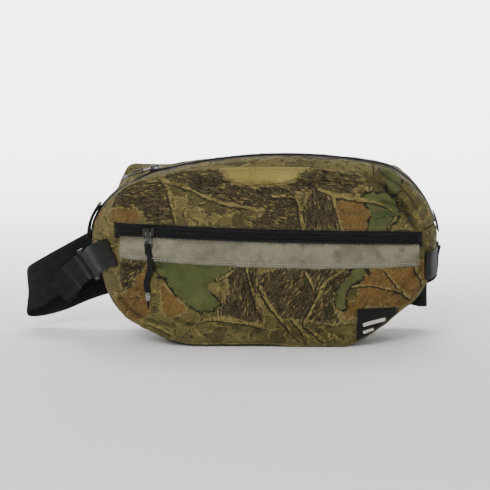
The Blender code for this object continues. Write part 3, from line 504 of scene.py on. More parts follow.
def camo_material():
    """Printed canvas: leaf litter, bark, leaves and twigs over a worn khaki ground, with painted shade
    darkening the creases.
    """
    graph = Graph("camo_cloth", sheen_weight=0.02, sheen_roughness=0.5, specular_ior_level=0.12)
    cloth = graph.field("cloth", True)
    along_grain = graph.field("grain", True)
    wide = graph.noise(cloth, 16.0, 3.0, 0.6)
    blotch = graph.noise(cloth, 60.0, 4.0, 0.6)
    speck = graph.noise(cloth, 130.0, 5.0, 0.68)
    fine = graph.noise(cloth, 260.0, 4.0, 0.65)
    thread = graph.noise(cloth, 1300.0, 2.0, 0.6)
    grain = graph.noise(graph.scaled(along_grain, (0.07, 0.42, 0.5)), 1.0, 6.0, 0.7)
    fleck = graph.noise(graph.scaled(along_grain, (0.1, 0.44, 0.5)), 1.3, 5.0, 0.62)
    ragged = graph.maths("ADD", graph.ramp(fine, 0.25, 0.75, -1.6, 1.6),
                         graph.ramp(blotch, 0.3, 0.7, -3.4, 3.4))

    def mask(name, spread=1.0, edge=0.45):
        value = graph.maths("ADD", graph.field(name), graph.maths("MULTIPLY", ragged, spread))
        return graph.ramp(value, -edge, edge), value

    def cells(vector, sway, scale):
        """Distance to the edge of torn, wandering patches, and a number for each patch."""
        swirl = graph.node("TexNoise", {"Vector": vector, "Scale": sway[0], "Detail": 4.0}).outputs["Color"]
        bent = graph.node("VectorMath", {0: swirl, 1: (sway[1],) * 3}, operation="MULTIPLY").outputs[0]
        bent = graph.node("VectorMath", {0: bent, 1: vector}, operation="ADD").outputs[0]
        bent = graph.scaled(bent, scale)
        edge = graph.node("TexVoronoi", {"Vector": bent, "Scale": 1.0}, feature="DISTANCE_TO_EDGE")
        patch = graph.node("TexVoronoi", {"Vector": bent, "Scale": 1.0}).outputs["Color"]
        shade = graph.node("SeparateColor", {0: patch}).outputs[0]
        return edge.outputs["Distance"], shade

    litter, leaf_tone = cells(cloth, (55.0, 0.03), (46.0, 74.0, 1.0))
    plate, plate_tone = cells(along_grain, (0.07, 9.0), (0.05, 0.17, 1.0))

    khaki = graph.mix(graph.ramp(wide, 0.35, 0.65), (0.078, 0.064, 0.0225), (0.112, 0.094, 0.032))
    khaki = graph.mix(graph.ramp(leaf_tone, 0.15, 0.45, 0.75, 0.0), khaki, (0.046, 0.039, 0.017))
    khaki = graph.mix(graph.ramp(leaf_tone, 0.74, 0.8, 0.0, 0.8), khaki, (0.115, 0.093, 0.035))
    khaki = graph.mix(graph.ramp(speck, 0.53, 0.6, 0.0, 0.8), khaki, (0.030, 0.0255, 0.012))
    khaki = graph.mix(graph.ramp(fleck, 0.57, 0.62, 0.0, 0.7), khaki, (0.135, 0.108, 0.042))
    rim = graph.maths("MULTIPLY", graph.ramp(litter, 0.045, 0.02), graph.ramp(blotch, 0.46, 0.53))
    khaki = graph.mix(rim, khaki, (0.185, 0.148, 0.052))
    pale, _ = mask("pale", 0.2)
    colour = graph.mix(pale, khaki, graph.mix(graph.ramp(wide, 0.3, 0.7), (0.215, 0.174, 0.051),
                                              (0.25, 0.205, 0.062)))
    bark, bark_value = mask("bark", 1.0)
    wood = graph.mix(graph.ramp(grain, 0.36, 0.62), (0.022, 0.0175, 0.0092), (0.076, 0.061, 0.029))
    wood = graph.mix(graph.ramp(plate_tone, 0.35, 0.65, 0.0, 0.5), wood, (0.041, 0.033, 0.0165))
    wood = graph.mix(graph.ramp(plate, 0.085, 0.03, 0.0, 0.9), wood, (0.0115, 0.0095, 0.006))
    lit = graph.maths("MULTIPLY", graph.ramp(fleck, 0.545, 0.58), graph.ramp(blotch, 0.48, 0.54))
    wood = graph.mix(graph.maths("MULTIPLY", lit, 0.95), wood, (0.172, 0.133, 0.05))
    colour = graph.mix(bark, colour, wood)
    fringe = graph.maths("MULTIPLY", graph.ramp(bark_value, -3.2, -2.2), graph.ramp(bark_value, 1.8, 0.2))
    fringe = graph.maths("MULTIPLY", fringe, graph.ramp(grain, 0.47, 0.53))
    colour = graph.mix(fringe, colour, (0.165, 0.127, 0.05))
    orange, orange_value = mask("orange", 0.6)
    leaf = graph.mix(graph.ramp(blotch, 0.35, 0.7), (0.118, 0.068, 0.02), (0.08, 0.049, 0.0172))
    leaf = graph.mix(graph.ramp(speck, 0.55, 0.63, 0.0, 0.8), leaf, (0.048, 0.034, 0.014))
    leaf = graph.mix(graph.ramp(plate, 0.05, 0.02, 0.0, 0.8), leaf, (0.155, 0.112, 0.04))
    colour = graph.mix(orange, colour, leaf)
    edge = graph.maths("MULTIPLY", graph.ramp(orange_value, -1.9, -1.1), graph.ramp(orange_value, 0.7, -0.1))
    colour = graph.mix(graph.maths("MULTIPLY", edge, graph.ramp(speck, 0.44, 0.5)), colour,
                       (0.165, 0.13, 0.048))
    green, green_value = mask("green", 0.8)
    blade = graph.mix(graph.ramp(blotch, 0.3, 0.7), (0.046, 0.06, 0.022), (0.078, 0.084, 0.03))
    blade = graph.mix(graph.ramp(speck, 0.56, 0.64, 0.0, 0.7), blade, (0.07, 0.05, 0.018))
    colour = graph.mix(green, colour, blade)
    rim = graph.maths("MULTIPLY", graph.ramp(green_value, -2.6, -1.2), graph.ramp(green_value, 1.3, -0.2))
    colour = graph.mix(graph.maths("MULTIPLY", rim, graph.ramp(blotch, 0.4, 0.48)), colour,
                       (0.013, 0.0125, 0.0075))
    broken = graph.ramp(speck, 0.36, 0.46)
    shade, _ = mask("twig_shade", 0.35, 0.4)
    colour = graph.mix(graph.maths("MULTIPLY", shade, 0.85), colour, (0.015, 0.0125, 0.0075))
    twig, _ = mask("twig", 0.3, 0.35)
    bough = graph.mix(graph.ramp(fleck, 0.42, 0.58), (0.105, 0.083, 0.032), (0.2, 0.158, 0.056))
    colour = graph.mix(graph.maths("MULTIPLY", twig, broken), colour, bough)
    worn = graph.maths("MULTIPLY", graph.field("wear"), graph.ramp(fine, 0.4, 0.62, 0.0, 0.4))
    colour = graph.mix(worn, colour, (0.125, 0.104, 0.05))
    shaded = graph.maths("MULTIPLY", graph.ramp(thread, 0.2, 0.8, 0.78, 1.18),
                         graph.ramp(wide, 0.2, 0.8, 0.88, 1.08))
    colour = graph.tinted(colour, shaded)
    # Painted shade: the colour darkens along the creases, by crease depth broken up by noise.
    painted_crease_shade = graph.maths("MULTIPLY", graph.field("fold"), graph.ramp(blotch, 0.3, 0.6, 0.55, 1.0))
    colour = graph.tinted(colour, graph.ramp(painted_crease_shade, 0.1, 1.0, 1.0, 0.42))
    normal = graph.bump(weave_height(graph, cloth, 0.0011), 0.00012, 0.6)
    normal = graph.bump(graph.noise(cloth, 120.0, 3.0, 0.55), 0.0014, 0.5, normal)
    normal = graph.bump(graph.noise(cloth, 38.0, 3.0, 0.5), 0.0045, 0.5, normal)
    return graph.finish(colour, normal, graph.ramp(fine, 0.2, 0.8, 0.78, 0.95))


def webbing_material(name, dark, light, pitch, sheen=0.25):
    """Ribbed nylon: fine herringbone across the width, with dust caught in the ribs."""
    graph = Graph(name, sheen_weight=sheen, sheen_roughness=0.4, specular_ior_level=0.14)
    cloth = graph.field("cloth", True)
    rib = graph.node("TexWave", {"Vector": cloth, "Scale": 1.0 / pitch / 6.283, "Distortion": 0.6,
                                 "Detail": 1.0}, wave_type="BANDS", bands_direction="X")
    line = graph.node("TexWave", {"Vector": cloth, "Scale": 1.0 / (3.1 * pitch) / 6.283,
                                  "Distortion": 0.3}, wave_type="BANDS", bands_direction="Y")
    height = graph.maths("ADD", rib.outputs["Fac"], graph.maths("MULTIPLY", line.outputs["Fac"], 1.3))
    dust = graph.noise(cloth, 45.0, 4.0, 0.6)
    share = graph.maths("MULTIPLY", graph.ramp(dust, 0.35, 0.75), graph.ramp(height, 0.4, 2.0, 1.0, 0.45))
    colour = graph.mix(share, dark, light)
    return graph.finish(colour, graph.bump(height, 0.00022, 0.8), graph.ramp(dust, 0.3, 0.7, 0.6, 0.85))


def strip_material():
    """Scuffed reflective fabric: warm grey with paler rubbed patches and faint stains."""
    graph = Graph("reflective_cloth", specular_ior_level=0.3, metallic=0.1)
    cloth = graph.field("cloth", True)
    wide = graph.noise(graph.scaled(cloth, (1.0, 1.6, 1.0)), 22.0, 4.0, 0.6)
    patch = graph.noise(cloth, 75.0, 3.0, 0.55)
    fine = graph.noise(cloth, 900.0, 2.0, 0.6)
    colour = graph.mix(graph.ramp(wide, 0.36, 0.64), (0.105, 0.096, 0.061), (0.172, 0.159, 0.108))
    colour = graph.mix(graph.ramp(patch, 0.52, 0.7, 0.0, 0.75), colour, (0.078, 0.071, 0.042))
    colour = graph.mix(graph.ramp(patch, 0.4, 0.26, 0.0, 0.6), colour, (0.225, 0.215, 0.16))
    worn = graph.maths("MULTIPLY", graph.field("wear"), graph.ramp(patch, 0.35, 0.65, 0.1, 0.7))
    colour = graph.mix(worn, colour, (0.078, 0.071, 0.043))
    colour = graph.tinted(colour, graph.ramp(fine, 0.2, 0.8, 0.86, 1.1))
    normal = graph.bump(graph.noise(cloth, 90.0, 3.0, 0.5), 0.0009, 0.5)
    normal = graph.bump(graph.noise(graph.scaled(cloth, (1.5, 0.6, 1.0)), 40.0, 3.0, 0.5), 0.004, 0.5, normal)
    normal = graph.bump(fine, 0.00008, 0.5, normal)
    return graph.finish(colour, normal, graph.ramp(wide, 0.3, 0.7, 0.42, 0.62))


def solid_material(name, dark, light, scale, rough, grain=0.00005, **constants):
    """Moulded, cast or spun pieces: two close tones, uneven gloss and a fine grain."""
    graph = Graph(name, **constants)
    place = graph.place()
    wide = graph.noise(place, scale, 4.0, 0.6)
    fine = graph.noise(place, scale * 18, 2.0, 0.6)
    colour = graph.mix(graph.ramp(wide, 0.35, 0.68), dark, light)
    return graph.finish(colour, graph.bump(fine, grain, 0.6), graph.ramp(wide, 0.3, 0.7, *rough))


def mesh_material():
    """Spacer mesh: staggered round holes over foam, with painted shade in the holes."""
    graph = Graph("air_mesh", sheen_weight=0.2, specular_ior_level=0.25)
    cloth = graph.field("cloth", True)
    cells = graph.node("TexVoronoi", {"Vector": cloth, "Scale": 420.0, "Randomness": 0.25})
    hole = graph.ramp(cells.outputs["Distance"], 0.28, 0.42)
    wide = graph.noise(cloth, 30.0, 3.0, 0.6)
    # Painted shade: the holes are coloured darker than the mesh around them.
    colour = graph.mix(hole, (0.006, 0.006, 0.006), (0.024, 0.024, 0.023))
    colour = graph.tinted(colour, graph.ramp(wide, 0.3, 0.7, 0.8, 1.3))
    return graph.finish(colour, graph.bump(hole, 0.0005, 0.8), graph.ramp(wide, 0.3, 0.7, 0.75, 0.95))


def thread_material(name, dark, light):
    graph = Graph(name, sheen_weight=0.2, specular_ior_level=0.3)
    twist = graph.node("TexWave", {"Vector": graph.place(), "Scale": 900.0, "Distortion": 1.0},
                       wave_type="BANDS", bands_direction="DIAGONAL").outputs["Fac"]
    wide = graph.noise(graph.place(), 120.0, 2.0, 0.5)
    colour = graph.mix(graph.maths("MULTIPLY", twist, wide), dark, light)
    return graph.finish(colour, graph.bump(twist, 0.00008, 0.6), graph.ramp(wide, 0.3, 0.7, 0.6, 0.85))


def make_materials():
    return {
        "camo": camo_material(),
        "webbing": webbing_material("belt_webbing", (0.0055, 0.0055, 0.005), (0.017, 0.0172, 0.0145),
                                    0.0016, 0.08),
        "tape": webbing_material("zip_tape_cloth", (0.005, 0.005, 0.005), (0.012, 0.012, 0.0115),
                                 0.0007, 0.05),
        "ribbon": webbing_material("pull_ribbon", (0.004, 0.004, 0.004), (0.012, 0.012, 0.0115),
                                   0.0009, 0.05),
        "label": webbing_material("label_cloth", (0.006, 0.006, 0.006), (0.016, 0.016, 0.015), 0.0005, 0.1),
        "lining": webbing_material("pocket_lining", (0.008, 0.008, 0.008), (0.018, 0.018, 0.017),
                                   0.0006, 0.1),
        "strip": strip_material(),
        "mesh": mesh_material(),
        "coil": solid_material("coil_nylon", (0.004, 0.004, 0.004), (0.013, 0.013, 0.013), 160.0,
                               (0.45, 0.65), specular_ior_level=0.3),
        "plastic": solid_material("moulded_plastic", (0.009, 0.009, 0.009), (0.022, 0.022, 0.021), 55.0,
                                  (0.34, 0.55)),
        "slider": solid_material("slider_metal", (0.008, 0.008, 0.008), (0.03, 0.029, 0.027), 320.0,
                                 (0.35, 0.6), metallic=0.5),
        "tab_metal": solid_material("tab_metal", (0.03, 0.03, 0.029), (0.16, 0.155, 0.145), 400.0,
                                    (0.25, 0.5), metallic=0.9),
        "bead": solid_material("clear_bead", (0.16, 0.16, 0.145), (0.42, 0.42, 0.39), 300.0, (0.12, 0.3),
                               transmission_weight=0.5, ior=1.47),
        "dark_thread": thread_material("dark_thread", (0.010, 0.010, 0.008), (0.035, 0.032, 0.022)),
        "pale_thread": thread_material("pale_thread", (0.26, 0.25, 0.2), (0.5, 0.49, 0.43)),
        "print": thread_material("label_thread", (0.4, 0.38, 0.32), (0.62, 0.6, 0.54)),
        "olive_thread": thread_material("olive_thread", (0.05, 0.045, 0.02), (0.11, 0.1, 0.05)),
    }


# Mesh building


def set_field(mesh, name, values):
    values = np.asarray(values, np.float32)
    vector = values.ndim == 2
    found = mesh.attributes.get(name)
    if found:
        mesh.attributes.remove(found)
    made = mesh.attributes.new(name, "FLOAT_VECTOR" if vector else "FLOAT", "POINT")
    made.data.foreach_set("vector" if vector else "value", values.ravel())


def get_field(mesh, name):
    found = mesh.attributes[name]
    vector = found.data_type == "FLOAT_VECTOR"
    values = np.zeros(len(found.data) * (3 if vector else 1), np.float32)
    found.data.foreach_get("vector" if vector else "value", values)
    return values.reshape(-1, 3) if vector else values


def coordinates(mesh):
    values = np.zeros(len(mesh.vertices) * 3, np.float32)
    mesh.vertices.foreach_get("co", values)
    return values.reshape(-1, 3).astype(float)


def add_mesh(name, points, faces, looks, body="bag", nodes=()):
    """A mesh object from points in millimetres, with its material, body and CAD nodes."""
    mesh = bpy.data.meshes.new(name)
    mesh.from_pydata((np.asarray(points, float) * MM).tolist(), [], faces)
    mesh.shade_smooth()
    mesh.materials.append(MATERIALS[looks])
    obj = bpy.data.objects.new(name, mesh)
    bpy.context.scene.collection.objects.link(obj)
    if body:
        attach(obj, body)
    if nodes:
        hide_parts(*nodes)
    return obj


def grid_faces(rows, columns):
    index = np.arange(rows * columns).reshape(rows, columns)
    quads = np.stack([index[:-1, :-1], index[1:, :-1], index[1:, 1:], index[:-1, 1:]], axis=-1)
    return quads.reshape(-1, 4).tolist()


def face_outwards(obj):
    """Turns an open sheet's faces away from the inside point."""
    shape = bmesh.new()
    shape.from_mesh(obj.data)
    shape.normal_update()
    inside = Vector((0, 0, CENTRE_Z)) * MM
    away = sum(f.normal.dot(f.calc_center_median() - inside) * f.calc_area() for f in shape.faces)
    if away < 0:
        bmesh.ops.reverse_faces(shape, faces=shape.faces[:])
    shape.to_mesh(obj.data)
    shape.free()


def lay_flat(obj, flat):
    """Records each point's place on the uncut cloth, given in millimetres."""
    flat = flat.reshape(-1, 2)
    set_field(obj.data, "cloth", np.column_stack([flat, np.zeros(len(flat))]) * MM)


def thicken(obj, thick, offset=-1.0, lined=False):
    """Gives a sheet its thickness, inwards unless offset is 0, with lining on the inner face."""
    solid = obj.modifiers.new("thickness", "SOLIDIFY")
    solid.thickness = thick * MM
    solid.offset = offset
    if lined:
        solid.material_offset = 1


def mend_normals(obj):
    shape = bmesh.new()
    shape.from_mesh(obj.data)
    bmesh.ops.recalc_face_normals(shape, faces=shape.faces[:])
    shape.to_mesh(obj.data)
    shape.free()


def keep_modifiers(obj):
    """Makes the modified mesh the object's own."""
    graph = bpy.context.evaluated_depsgraph_get()
    made = bpy.data.meshes.new_from_object(obj.evaluated_get(graph))
    obj.modifiers.clear()
    obj.data = made


def relax(obj, sewn, slack, push):
    """Lets the cloth settle between its sewn borders, then keeps the result."""
    obj.data.transform(SCALE_UP)
    group = obj.vertex_groups.new(name="sewn")
    for index, weight in enumerate(sewn):
        group.add([index], float(weight), "REPLACE")
    cloth = obj.modifiers.new("cloth", "CLOTH")
    settings = cloth.settings
    settings.quality = 7
    settings.mass = 0.15
    settings.tension_stiffness = settings.compression_stiffness = 12.0
    settings.shear_stiffness = 6.0
    settings.bending_stiffness = 0.6
    settings.air_damping = 4.0
    settings.vertex_group_mass = "sewn"
    settings.shrink_min = -slack
    settings.use_pressure = True
    settings.uniform_pressure_force = push
    settings.effector_weights.gravity = 0.0
    cloth.collision_settings.use_collision = False
    cloth.point_cache.frame_start = 1
    cloth.point_cache.frame_end = SIM_FRAMES
    before = coordinates(obj.data)
    for frame_number in range(1, SIM_FRAMES + 1):
        bpy.context.scene.frame_set(frame_number)
    graph = bpy.context.evaluated_depsgraph_get()
    settled = coordinates(obj.evaluated_get(graph).data)
    obj.modifiers.clear()
    bpy.context.scene.frame_set(1)
    moved = settled - before
    reach = np.linalg.norm(moved, axis=1, keepdims=True)
    cap = SIM_CAP * SIM_SCALE * MM
    moved *= np.minimum(1.0, cap / np.maximum(reach, 1e-9))
    obj.data.vertices.foreach_set("co", ((before + moved) / SIM_SCALE).astype(np.float32).ravel())
    obj.data.update()


def add_cloth(name, points, flat, nodes, slack, push, blend_mouth=False):
    """A sewn panel from a grid of points. flat gives each point's place on the uncut cloth."""
    rows, columns = points.shape[:2]
    obj = add_mesh(name, points.reshape(-1, 3), grid_faces(rows, columns), "camo", None, nodes)
    face_outwards(obj)
    row, column = np.meshgrid(np.arange(rows), np.arange(columns), indexing="ij")
    border = np.minimum.reduce([row, rows - 1 - row, column, columns - 1 - column])
    lay_flat(obj, flat)
    set_field(obj.data, "wear", smooth(2.2 - border.ravel(), 0.0, 2.2))
    inner = smooth(border.ravel(), 0.0, 2.0)
    crease(obj, 0.5 * inner)
    pucker(obj, border.ravel())
    relax(obj, border.ravel() == 0, slack, push)
    crease(obj, 0.85 * inner)
    keep_above_floor(obj)
    finer = obj.modifiers.new("finer", "SUBSURF")
    finer.levels = finer.render_levels = CLOTH_DETAIL
    finer.boundary_smooth = "PRESERVE_CORNERS"
    keep_modifiers(obj)
    for key, values in print_fields(get_field(obj.data, "cloth")[:, :2] / MM).items():
        set_field(obj.data, key, values)
    obj.data.materials.append(MATERIALS["lining"])
    thicken(obj, CLOTH_THICK, lined=True)
    if not blend_mouth:
        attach(obj, "bag")
    return obj


def crease(obj, share):
    """Presses the listed creases into the sheet, by each point's share."""
    flat = get_field(obj.data, "cloth")[:, :2] / MM
    depth = np.zeros(len(flat))
    for width, deep, line in CREASES:
        away = distance_to_line(flat, catmull(line, 5))
        depth -= deep * np.exp(-((away / width) ** 2))
        depth += 0.45 * deep * np.exp(-(((away - 2.2 * width) / width) ** 2))
    x, z = flat[:, 0], flat[:, 1]
    depth += 0.7 * np.sin(0.062 * x + 1.9 * np.sin(0.041 * z)) * np.sin(0.071 * z + 1.3 * np.sin(0.037 * x))
    push_out(obj, depth * share)


def pucker(obj, border):
    """Small gathers that run in from the seams."""
    flat = get_field(obj.data, "cloth")[:, :2] / MM
    phase = flat[:, 0] * 0.37 + 1.7 * np.sin(flat[:, 1] * 0.09) + 1.3 * np.sin(flat[:, 0] * 0.11)
    cross = flat[:, 1] * 0.41 + 1.9 * np.sin(flat[:, 0] * 0.07)
    share = np.exp(-((border - 1.5) / 2.2) ** 2) * (border > 0)
    push_out(obj, share * (0.55 * np.sin(phase) + 0.55 * np.sin(cross)))


def keep_above_floor(obj):
    place = coordinates(obj.data)
    place[:, 2] = np.maximum(place[:, 2], FLOOR_CLEARANCE * MM)
    obj.data.vertices.foreach_set("co", place.astype(np.float32).ravel())
    obj.data.update()


def push_out(obj, distance):
    normals = np.array([v.normal for v in obj.data.vertices])
    moved = coordinates(obj.data) + normals * np.asarray(distance)[:, None] * MM
    obj.data.vertices.foreach_set("co", moved.astype(np.float32).ravel())
    obj.data.update()


class Skin:
    """The settled surface of some pieces, for laying trims on it."""

    def __init__(self, *objects):
        graph = bpy.context.evaluated_depsgraph_get()
        self.trees = [BVHTree.FromObject(o, graph) for o in objects]

    def front(self, x, z, out=0.0):
        """The point in front at x, z, moved out of the cloth."""
        start = Vector((x * MM, -0.3, z * MM))
        hits = [t.ray_cast(start, Vector((0, 1, 0))) for t in self.trees]
        hits = [h for h in hits if h[0] is not None]
        if not hits:
            return on_front(x, z, out)
        place, normal = min(hits, key=lambda h: h[0].y)[:2]
        return np.array(place + normal * (out * MM)) / MM


# Trims


def add_ribbon(name, path, across, width, thick, looks, body="bag", nodes=(), steps=4, ripple=0.3):
    """Woven tape swept along a path, with soft edges and a slight ripple."""
    path = catmull(path, steps)
    across = catmull(across, steps) if np.ndim(across) == 2 else np.tile(across, (len(path), 1))
    run = np.concatenate([[0], np.cumsum(np.linalg.norm(np.diff(path, axis=0), axis=1))])
    tangents = np.gradient(path, axis=0)
    half, edge = width / 2, thick / 2
    lanes = np.linspace(-half + edge, half - edge, 9)
    section = [(s, edge, s) for s in lanes] + [(half - 0.15 * edge, 0.55 * edge, half)]
    section += [(half, 0.0, half), (half - 0.15 * edge, -0.55 * edge, half)]
    section += [(s, -edge, s) for s in lanes[::-1]] + [(-half + 0.15 * edge, -0.55 * edge, -half)]
    section += [(-half, 0.0, -half), (-half + 0.15 * edge, 0.55 * edge, -half)]
    points, cloth = [], []
    for centre, tangent, side, s in zip(path, tangents, across, run):
        forward = unit(tangent)
        side = unit(side - np.dot(side, forward) * forward)
        up = np.cross(forward, side)
        for a, u, lane in section:
            wave = ripple * math.sin(s * 0.13 + lane * 0.05) * math.sin(lane / half * 1.4 + s * 0.021)
            points.append(centre + a * side + (u + wave) * up)
            cloth.append((s * MM, lane * MM, 0))
    count = len(section)
    faces = []
    for ring in range(len(path) - 1):
        for k in range(count):
            a, b = ring * count + k, ring * count + (k + 1) % count
            faces.append([a, b, b + count, a + count])
    faces += [list(range(count))[::-1], [(len(path) - 1) * count + k for k in range(count)]]
    obj = add_mesh(name, points, faces, looks, body, nodes)
    set_field(obj.data, "cloth", cloth)
    obj.data.set_sharp_from_angle(angle=math.radians(50))
    return obj


def add_tube(name, path, radius, looks, body="bag", nodes=(), closed=False, sides=10):
    """A round cord or rolled seam along a path."""
    path = np.asarray(path, float)
    tangents = np.roll(path, -1, 0) - np.roll(path, 1, 0) if closed else np.gradient(path, axis=0)
    points, cloth = [], []
    for centre, tangent in zip(path, tangents):
        forward = unit(tangent)
        side = unit(np.cross(forward, (0.02, 1.0, 0.03)))
        up = np.cross(side, forward)
        for k in range(sides):
            turn = 2 * math.pi * k / sides
            points.append(centre + radius * (math.cos(turn) * side + math.sin(turn) * up))
            cloth.append((centre[0] * MM, (centre[2] + radius * math.sin(turn)) * MM, 0))
    faces = []
    for ring in range(len(path) if closed else len(path) - 1):
        after = (ring + 1) % len(path)
        for k in range(sides):
            j = (k + 1) % sides
            faces.append([ring * sides + k, ring * sides + j, after * sides + j, after * sides + k])
    if not closed:
        faces += [list(range(sides))[::-1], [(len(path) - 1) * sides + k for k in range(sides)]]
    obj = add_mesh(name, points, faces, looks, body, nodes)
    mend_normals(obj)
    set_field(obj.data, "cloth", cloth)
    return obj


def seam_roll(name, path, radius):
    """A rolled seam round the whole bag in the printed cloth."""
    obj = add_tube(name, path, radius, "camo", closed=True)
    place = coordinates(obj.data) / MM
    for key, values in print_fields(place[:, [0, 2]]).items():
        set_field(obj.data, key, values)
    set_field(obj.data, "wear", np.full(len(place), 0.8))
    return obj


BLOCK = [(-1, -1, -1), (1, -1, -1), (1, 1, -1), (-1, 1, -1), (-0.7, -0.7, 1), (0.7, -0.7, 1),
         (0.7, 0.7, 1), (-0.7, 0.7, 1)]
BLOCK_FACES = [[0, 3, 2, 1], [4, 5, 6, 7], [0, 1, 5, 4], [1, 2, 6, 5], [2, 3, 7, 6], [3, 0, 4, 7]]


def add_blocks(name, frames, looks, body="bag", nodes=()):
    """Many small bevelled blocks in one mesh: stitches and zip teeth. A frame is
    (centre, along, across, out), with the block's half sizes as their lengths."""
    points, faces = [], []
    for centre, along, across, out in frames:
        base = len(points)
        for a, b, c in BLOCK:
            points.append(np.asarray(centre) + a * along + b * across + c * out)
        faces += [[base + k for k in face] for face in BLOCK_FACES]
    obj = add_mesh(name, points, faces, looks, body, nodes)
    mend_normals(obj)
    return obj


def stitch_frames(line, pitch, length=0.62, thick=0.28):
    """Frames for a row of stitches along a line of 3-D points."""
    line = np.asarray(line, float)
    run = np.concatenate([[0], np.cumsum(np.linalg.norm(np.diff(line, axis=0), axis=1))])
    frames = []
    for s in np.arange(pitch / 2, run[-1], pitch):
        here = np.array([np.interp(s, run, line[:, k]) for k in range(3)])
        ahead = np.array([np.interp(min(s + 1, run[-1]), run, line[:, k]) for k in range(3)])
        back = np.array([np.interp(max(s - 1, 0), run, line[:, k]) for k in range(3)])
        along = unit(ahead - back)
        out = unit(np.cross(along, np.cross((0, -1, 0.01), along)))
        across = np.cross(out, along)
        frames.append((here, along * pitch * length / 2, across * thick, out * thick))
    return frames


# The bag's shell


def side_angles(offset):
    z_left = pocket_zip_z(-162) + offset
    z_right = pocket_zip_z(164) + offset
    return angle_of(-161, z_left), angle_of(164.5, z_right)


def front_grid(offset, corner_left, corner_right):
    """Border-fitted grid of one camouflage panel above or below the pocket zip."""
    turn = 0.0 if offset > 0 else 2 * math.pi
    left_angle, right_angle = side_angles(offset)
    columns = round(2 * HALF_WIDTH / GRID)
    rows = round(62 / GRID) if offset > 0 else round(92 / GRID)
    left = outline_between(left_angle % (2 * math.pi), corner_left, rows)
    right = outline_between(right_angle, corner_right, rows)
    far = outline_between(corner_left, corner_right + turn, columns)
    xs = np.linspace(left[0][0], right[0][0], columns)
    near = np.array([(x, pocket_zip_z(x) + offset) for x in xs])
    near[0], near[-1] = left[0], right[0]
    grid = coons(near, far, left, right)
    points = np.array([[on_front(x, z) for x, z in column] for column in grid])
    return points, grid


def shell_grid(start, end, v_range, count):
    """Grid of a gusset strip and its place on the flat cloth, rolled out from the front seam."""
    columns = max(4, round(abs(v_range[1] - v_range[0]) * 44 / GRID) + 1)
    points = np.zeros((count, columns, 3))
    flat = np.zeros((count, columns, 2))
    for j, v in enumerate(np.linspace(*v_range, columns)):
        first, last = start(v), end(v)
        for i, angle in enumerate(np.linspace(first, last, count)):
            points[i, j] = shell_point(angle, v)
            radius = radius_of(FRONT, angle) + (v + 1) * 46
            flat[i, j] = (radius * math.cos(angle), CENTRE_Z + radius * math.sin(angle))
    return points, flat


ZIP_LEFT_END = angle_of(-187, 112)
ZIP_RIGHT_END = angle_of(178, 128)
BASE_LEFT = angle_of(-150, 30) + 2 * math.pi
BASE_RIGHT = angle_of(152, 40) + 2 * math.pi
FRONT_V = ZIP_TAPE / -FRONT_SEAM_Y
BACK_V = ZIP_TAPE / BACK_SEAM_Y
CLEAR = math.radians(0.15)


def at_angle(angle):
    return lambda v: angle


def at_x(x):
    return lambda v: angle_at_x(x, v)


def mouth_weight(x, v):
    """How far a point of the mouth's edge follows the open mouth: 0 at the seam and ends."""
    across = smooth(v + 1.0, 0.05, 0.85)
    ends = smooth(x, MOUTH_LEFT_X, MOUTH_LEFT_X + MOUTH_FADE) * smooth(-x, -MOUTH_RIGHT_X,
                                                                      -MOUTH_RIGHT_X + MOUTH_FADE)
    return across * ends


def follow_mouth(obj):
    """Bends a piece between the bag and the mouth, tapering to its sewn ends."""
    seam = (CROWN_X * MM, FRONT_SEAM_Y * MM, 0.1915)
    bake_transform(obj, "bag", "mouth", start=seam, end=(seam[0], 0.0, CROWN_Z * MM))
    place = coordinates(obj.data) / MM
    weights = mouth_weight(place[:, 0], np.clip(place[:, 1] / -FRONT_SEAM_Y, -1.0, 0.0))
    set_field(obj.data, "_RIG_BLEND", weights)


def build_shell():
    upper, flat = front_grid(POCKET_TAPE + GAP, angle_of(-150, 169), angle_of(141, 166))
    upper = add_cloth("front_upper_cloth", upper, flat, ["front_panel_upper"], 0.010, 0.9)
    lower, flat = front_grid(-8.0 - GAP, angle_of(-150, 38) + 2 * math.pi, angle_of(150, 48))
    lower = add_cloth("front_lower_cloth", lower, flat, ["front_panel_lower"], 0.012, 1.1)
    front_strip = (-1.0, -FRONT_V - 0.01)
    strips = {
        "corner_left": (at_x(MOUTH_LEFT_X - GAP), at_angle(ZIP_LEFT_END - CLEAR), front_strip, 28,
                        ["top_corner_left"]),
        "corner_right": (at_angle(ZIP_RIGHT_END + CLEAR), at_x(MOUTH_RIGHT_X + GAP), front_strip, 22,
                         ["top_corner_right"]),
        "back_top": (at_angle(ZIP_RIGHT_END + CLEAR), at_angle(ZIP_LEFT_END - CLEAR), (BACK_V + 0.01, 1.0),
                     96, ["top_gusset_back"]),
        "left_side": (at_angle(ZIP_LEFT_END + CLEAR), at_angle(BASE_LEFT - CLEAR), (-1, 1), 26,
                      ["left_gusset"]),
        "right_side": (at_angle(BASE_RIGHT - 2 * math.pi + CLEAR), at_angle(ZIP_RIGHT_END - CLEAR), (-1, 1),
                       26, ["right_gusset"]),
        "base": (at_angle(BASE_LEFT + CLEAR), at_angle(BASE_RIGHT - CLEAR), (-1, 1), 80, ["bottom_gusset"]),
    }
    for name, (start, end, v_range, count, nodes) in strips.items():
        points, flat = shell_grid(start, end, v_range, count)
        still = name == "base"
        add_cloth(f"{name}_cloth", points, flat, nodes, 0.004 if still else 0.012, 0.1 if still else 0.8)
    points, flat = shell_grid(at_x(MOUTH_RIGHT_X), at_x(MOUTH_LEFT_X), front_strip, 54)
    mouth = add_cloth("mouth_cloth", points, flat, ["mouth_flap"], 0.010, 0.5, blend_mouth=True)
    follow_mouth(mouth)
    return upper, lower


